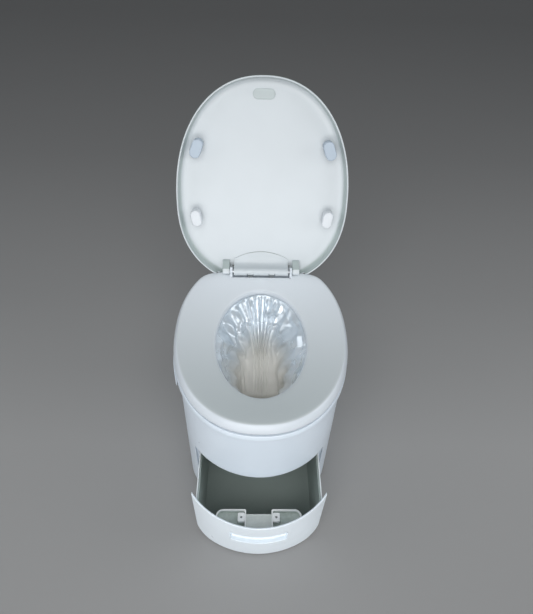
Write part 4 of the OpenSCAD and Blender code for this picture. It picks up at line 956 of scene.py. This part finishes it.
def bracket_tray():
    """Two rimmed pockets, two screw bosses and the centre plate behind the drawer front."""
    s = Shape()
    z0, floor, rim_top = 140.0, 143.0, 156.0
    pocket_in, half, rear, r = 29.0, 98.0, -173.0, 16.0
    cup, boss_w, boss_l = GRIP_HALF_W + 2.8, 8, 10.5
    back = float(face_y(0, GRIP_Z, GRIP_DEPTH)) + 2.8

    def front_at(x):
        behind_cup = face_y(x, 156, 0) + GRIP_DEPTH + 1.5
        return np.where(np.abs(x) < cup, np.maximum(back, behind_cup), face_y(x, z0, BODY_WALL + 0.3))

    def outline(d, m):
        t = np.linspace(0, math.pi / 2, 10)
        corner = np.stack([half - r + (r - d) * np.cos(t), rear - r + (r - d) * np.sin(t)], -1)
        inner = 4.0
        small = np.stack([pocket_in + d + inner - inner * np.sin(t), rear - d - inner + inner * np.cos(t)], -1)
        xs = np.concatenate([np.linspace(pocket_in + d, cup - 0.1, 14), np.linspace(cup + 0.1, half - d, 12)])
        front = np.stack([xs, front_at(xs) + (d if d else 0)], -1)
        p = np.vstack([front, corner, small])
        p[:, 0] *= m
        return p
    for m in (1, -1):
        out, edge, wall = outline(0, m), outline(0.8, m), outline(3, m)
        s.loft([at_z(edge, z0), at_z(out, z0 + 0.8), at_z(out, rim_top - 0.9), at_z(edge, rim_top - 0.1),
                at_z(outline(1.6, m), rim_top), at_z(outline(2.4, m), rim_top - 0.2), at_z(wall, rim_top - 1),
                at_z(wall, floor + 2), at_z(outline(3.6, m), floor + 0.5), at_z(outline(5, m), floor)], caps=True)
        t = np.radians(np.arange(0, 360, 15))
        hole = [(m * SCREW_X + 2.9 * math.cos(a), SCREW_Y + 2.9 * math.sin(a)) for a in t]
        block = []
        for a in t:
            c, q = math.cos(a), math.sin(a)
            k = min(boss_w / max(abs(c), 1e-6), boss_l / max(abs(q), 1e-6), math.hypot(boss_w, boss_l) * 0.9)
            block.append((m * SCREW_X + k * c, SCREW_Y + k * q))
        block, hole = np.array(block), np.array(hole)
        middle = np.array([m * SCREW_X, SCREW_Y])
        crown = middle + (block - middle) * 0.92
        s.loft([at_z(block, floor - 0.5), at_z(block, 157), at_z(crown, 158), at_z(hole, 158),
                at_z(hole, 146)], caps=True)
    # Centre plate with a turned-up rear edge
    w = pocket_in + 3
    s.prism([(back, 146), (back, 150), (-184.5, 150), (-184, 151.6), (-183.2, 151.6), (-183, 150.6), (-183, 146.4),
             (-183.6, 146)], -w, w, "x")
    return piece("bracket_tray", s, tray_painted_light_shade, "drawer", ["drawer_bracket"], pose=pulled, corner=40)


# ---------------------------------------------------------------- lever and springs
def lever_strip():
    """Packing lever: a flat strip that follows the collar, with a round hub."""
    s = Shape()
    ys = np.concatenate([[-117.8, -117.3, -116.2], np.linspace(-113, LEVER_Y, 24)])
    shrink = np.concatenate([[1.6, 0.6, 0.1], np.zeros(24)])
    rings = []
    for y, e in zip(ys, shrink):
        x_out = -float(seat_half_at(y, 11)) + e
        x_in = -max(181.0, float(seat_half_at(y, 4))) - e
        h, r = 9.0 - e, 1.8
        loop = []
        for cx, cz, start in ((x_in - r, h - r, 0), (x_out + r, h - r, 90), (x_out + r, r - h, 180),
                              (x_in - r, r - h, 270)):
            for a in (math.radians(start + k * 22.5) for k in range(5)):
                loop.append((cx + r * math.cos(a), y, LEVER_Z + cz + r * math.sin(a)))
        rings.append(loop)
    s.loft(rings, caps=True)
    s.turned([(-201, 7.5), (-200.8, 8.9), (-199.8, 9.7), (-198.6, 10), (-182.8, 10), (-182, 9.4)],
             LEVER_Y, LEVER_Z)
    return piece("lever_strip", s, white, "lever", ["packing_lever"], corner=40)


def coil(name, x0, x1, y, z, radius, wire, rounds, body, swaps, mirror=False):
    """A spring of round wire along X, from x0 to x1."""
    s = Shape()
    for m in (1, -1) if mirror else (1,):
        t = np.linspace(0, 2 * math.pi * rounds, int(rounds * 28))
        x = np.linspace(x0 + wire, x1 - wire, len(t)) * m
        s.tube(np.column_stack([x, y + radius * np.cos(t), z + radius * np.sin(t)]), wire)
    return piece(name, s, steel, body, swaps, corner=60)


body_moulding()
deck_collar()
seat_moulding()
lid_moulding()
lid_lug_pair()
hinge_leaf()
lid_pads("front_lid_pads", pad_grey, (151.5, -119), 21.5, 12.4, -20, 460.4, ["lid_front_bumpers"], root=24)
lid_pads("rear_lid_pads", post_white, (157, 43), 20, 12, 10, 460.4, ["lid_rear_bumpers"], root=22)
lid_pads("oval_boss", boss_white, (0, -235), 25, 11.5, 90, LID_TOP - LID_WALL - 2.2, ["lid_boss"],
         dome=1.0, root=3.4)
film_bag()
film_store()
drawer_panel()
grip_back()
bin_box()
bracket_tray()
lever_strip()
coil("arm_coils", 104, 115, PIVOT_Y, PIVOT_Z, 5.4, 0.9, 5, "body", ["arm_springs"], mirror=True)
coil("return_coil", -160, -150.3, LEVER_Y, LEVER_Z, 7.8, 1.0, 4, "body", ["return_spring"])


# ---------------------------------------------------------------- floor, light, camera
def floor():
    mesh = bpy.data.meshes.new("floor")
    cells = 24
    line = np.linspace(-9, 9, cells + 1)
    points = [(x, y, 0.0) for y in line for x in line]
    faces = [(a, a + 1, a + cells + 2, a + cells + 1)
             for a in (k * (cells + 1) + i for k in range(cells) for i in range(cells))]
    mesh.from_pydata(points, [], faces)
    obj = bpy.data.objects.new("floor", mesh)
    bpy.context.scene.collection.objects.link(obj)
    f = Finish("floor_painted_falloff")
    # Painted light: the floor is lighter just round the object and darker further back, a painted falloff of light
    stops = [(0.0, 0.235), (0.13, 0.30), (0.27, 0.245), (0.5, 0.195), (1.0, 0.15)]
    far = f.node("ShaderNodeMapRange", {}, {"Value": f.axis(1), "From Min": -0.6, "From Max": 3.8})
    base = f.node("ShaderNodeValToRGB", {"stops": [(at, (v, v, v)) for at, v in stops]}, [far])
    base = f.blend(f.noise(3, 3) * 0.05, base, tone(140, 140, 140))
    obj.data.materials.append(f.surface(base_color=base, roughness=0.75 + 0.1 * (f.noise(200, 2) - 0.5),
                                        specular_ior_level=0.2))


def lamp(name, place, aim, size, power, colour=(1, 1, 1)):
    data = bpy.data.lights.new(name, "AREA")
    data.shape, data.size, data.size_y, data.energy, data.color = "RECTANGLE", size[0], size[1], power, colour
    obj = bpy.data.objects.new(name, data)
    obj.location = place
    obj.rotation_euler = (Vector(aim) - Vector(place)).to_track_quat("-Z", "Y").to_euler()
    bpy.context.scene.collection.objects.link(obj)


floor()
lamp("high_soft", (-0.15, -2.1, 2.7), (0, -0.1, 0.25), (2.4, 1.6), 42)
lamp("low_soft", (-0.2, -1.95, 0.62), (0, 0, 0.3), (2.2, 1.0), 21)
lamp("left_soft", (-2.6, -0.5, 1.6), (0, 0, 0.4), (1.4, 1.8), 13, (0.96, 0.98, 1.0))
lamp("right_soft", (2.6, -0.5, 1.6), (0, 0, 0.4), (1.4, 1.8), 20, (0.96, 0.98, 1.0))

world = bpy.data.worlds.new("studio")
world.use_nodes = True
world.node_tree.nodes["Background"].inputs[0].default_value = (0.93, 0.97, 1.0, 1)
world.node_tree.nodes["Background"].inputs[1].default_value = 0.36
bpy.context.scene.world = world
bpy.context.scene.view_settings.view_transform = "Standard"

# Camera: above and ahead of the seat, looking down at the hinge. The focal length is in pixels of
# the picture's longer side
pitch, yaw, roll, focal, picture_side, sensor = 0.7801, 0.0353, 0.037, 536.104, 614, 36.0
look = Vector((math.sin(yaw) * math.cos(pitch), math.cos(yaw) * math.cos(pitch), -math.sin(pitch)))
level = Vector((math.cos(yaw), -math.sin(yaw), 0))
upright = level.cross(look)
right = level * math.cos(roll) + upright * math.sin(roll)
up = upright * math.cos(roll) - level * math.sin(roll)
data = bpy.data.cameras.new("camera")
data.sensor_width, data.sensor_fit, data.lens, data.clip_start = sensor, "AUTO", focal * sensor / picture_side, 0.02
camera = bpy.data.objects.new("camera", data)
turned_to = Matrix((right, up, -look)).transposed().to_4x4()
camera.matrix_world = Matrix.Translation((-0.0189, -0.8389, 1.3528)) @ turned_to
bpy.context.scene.collection.objects.link(camera)
bpy.context.scene.camera = camera
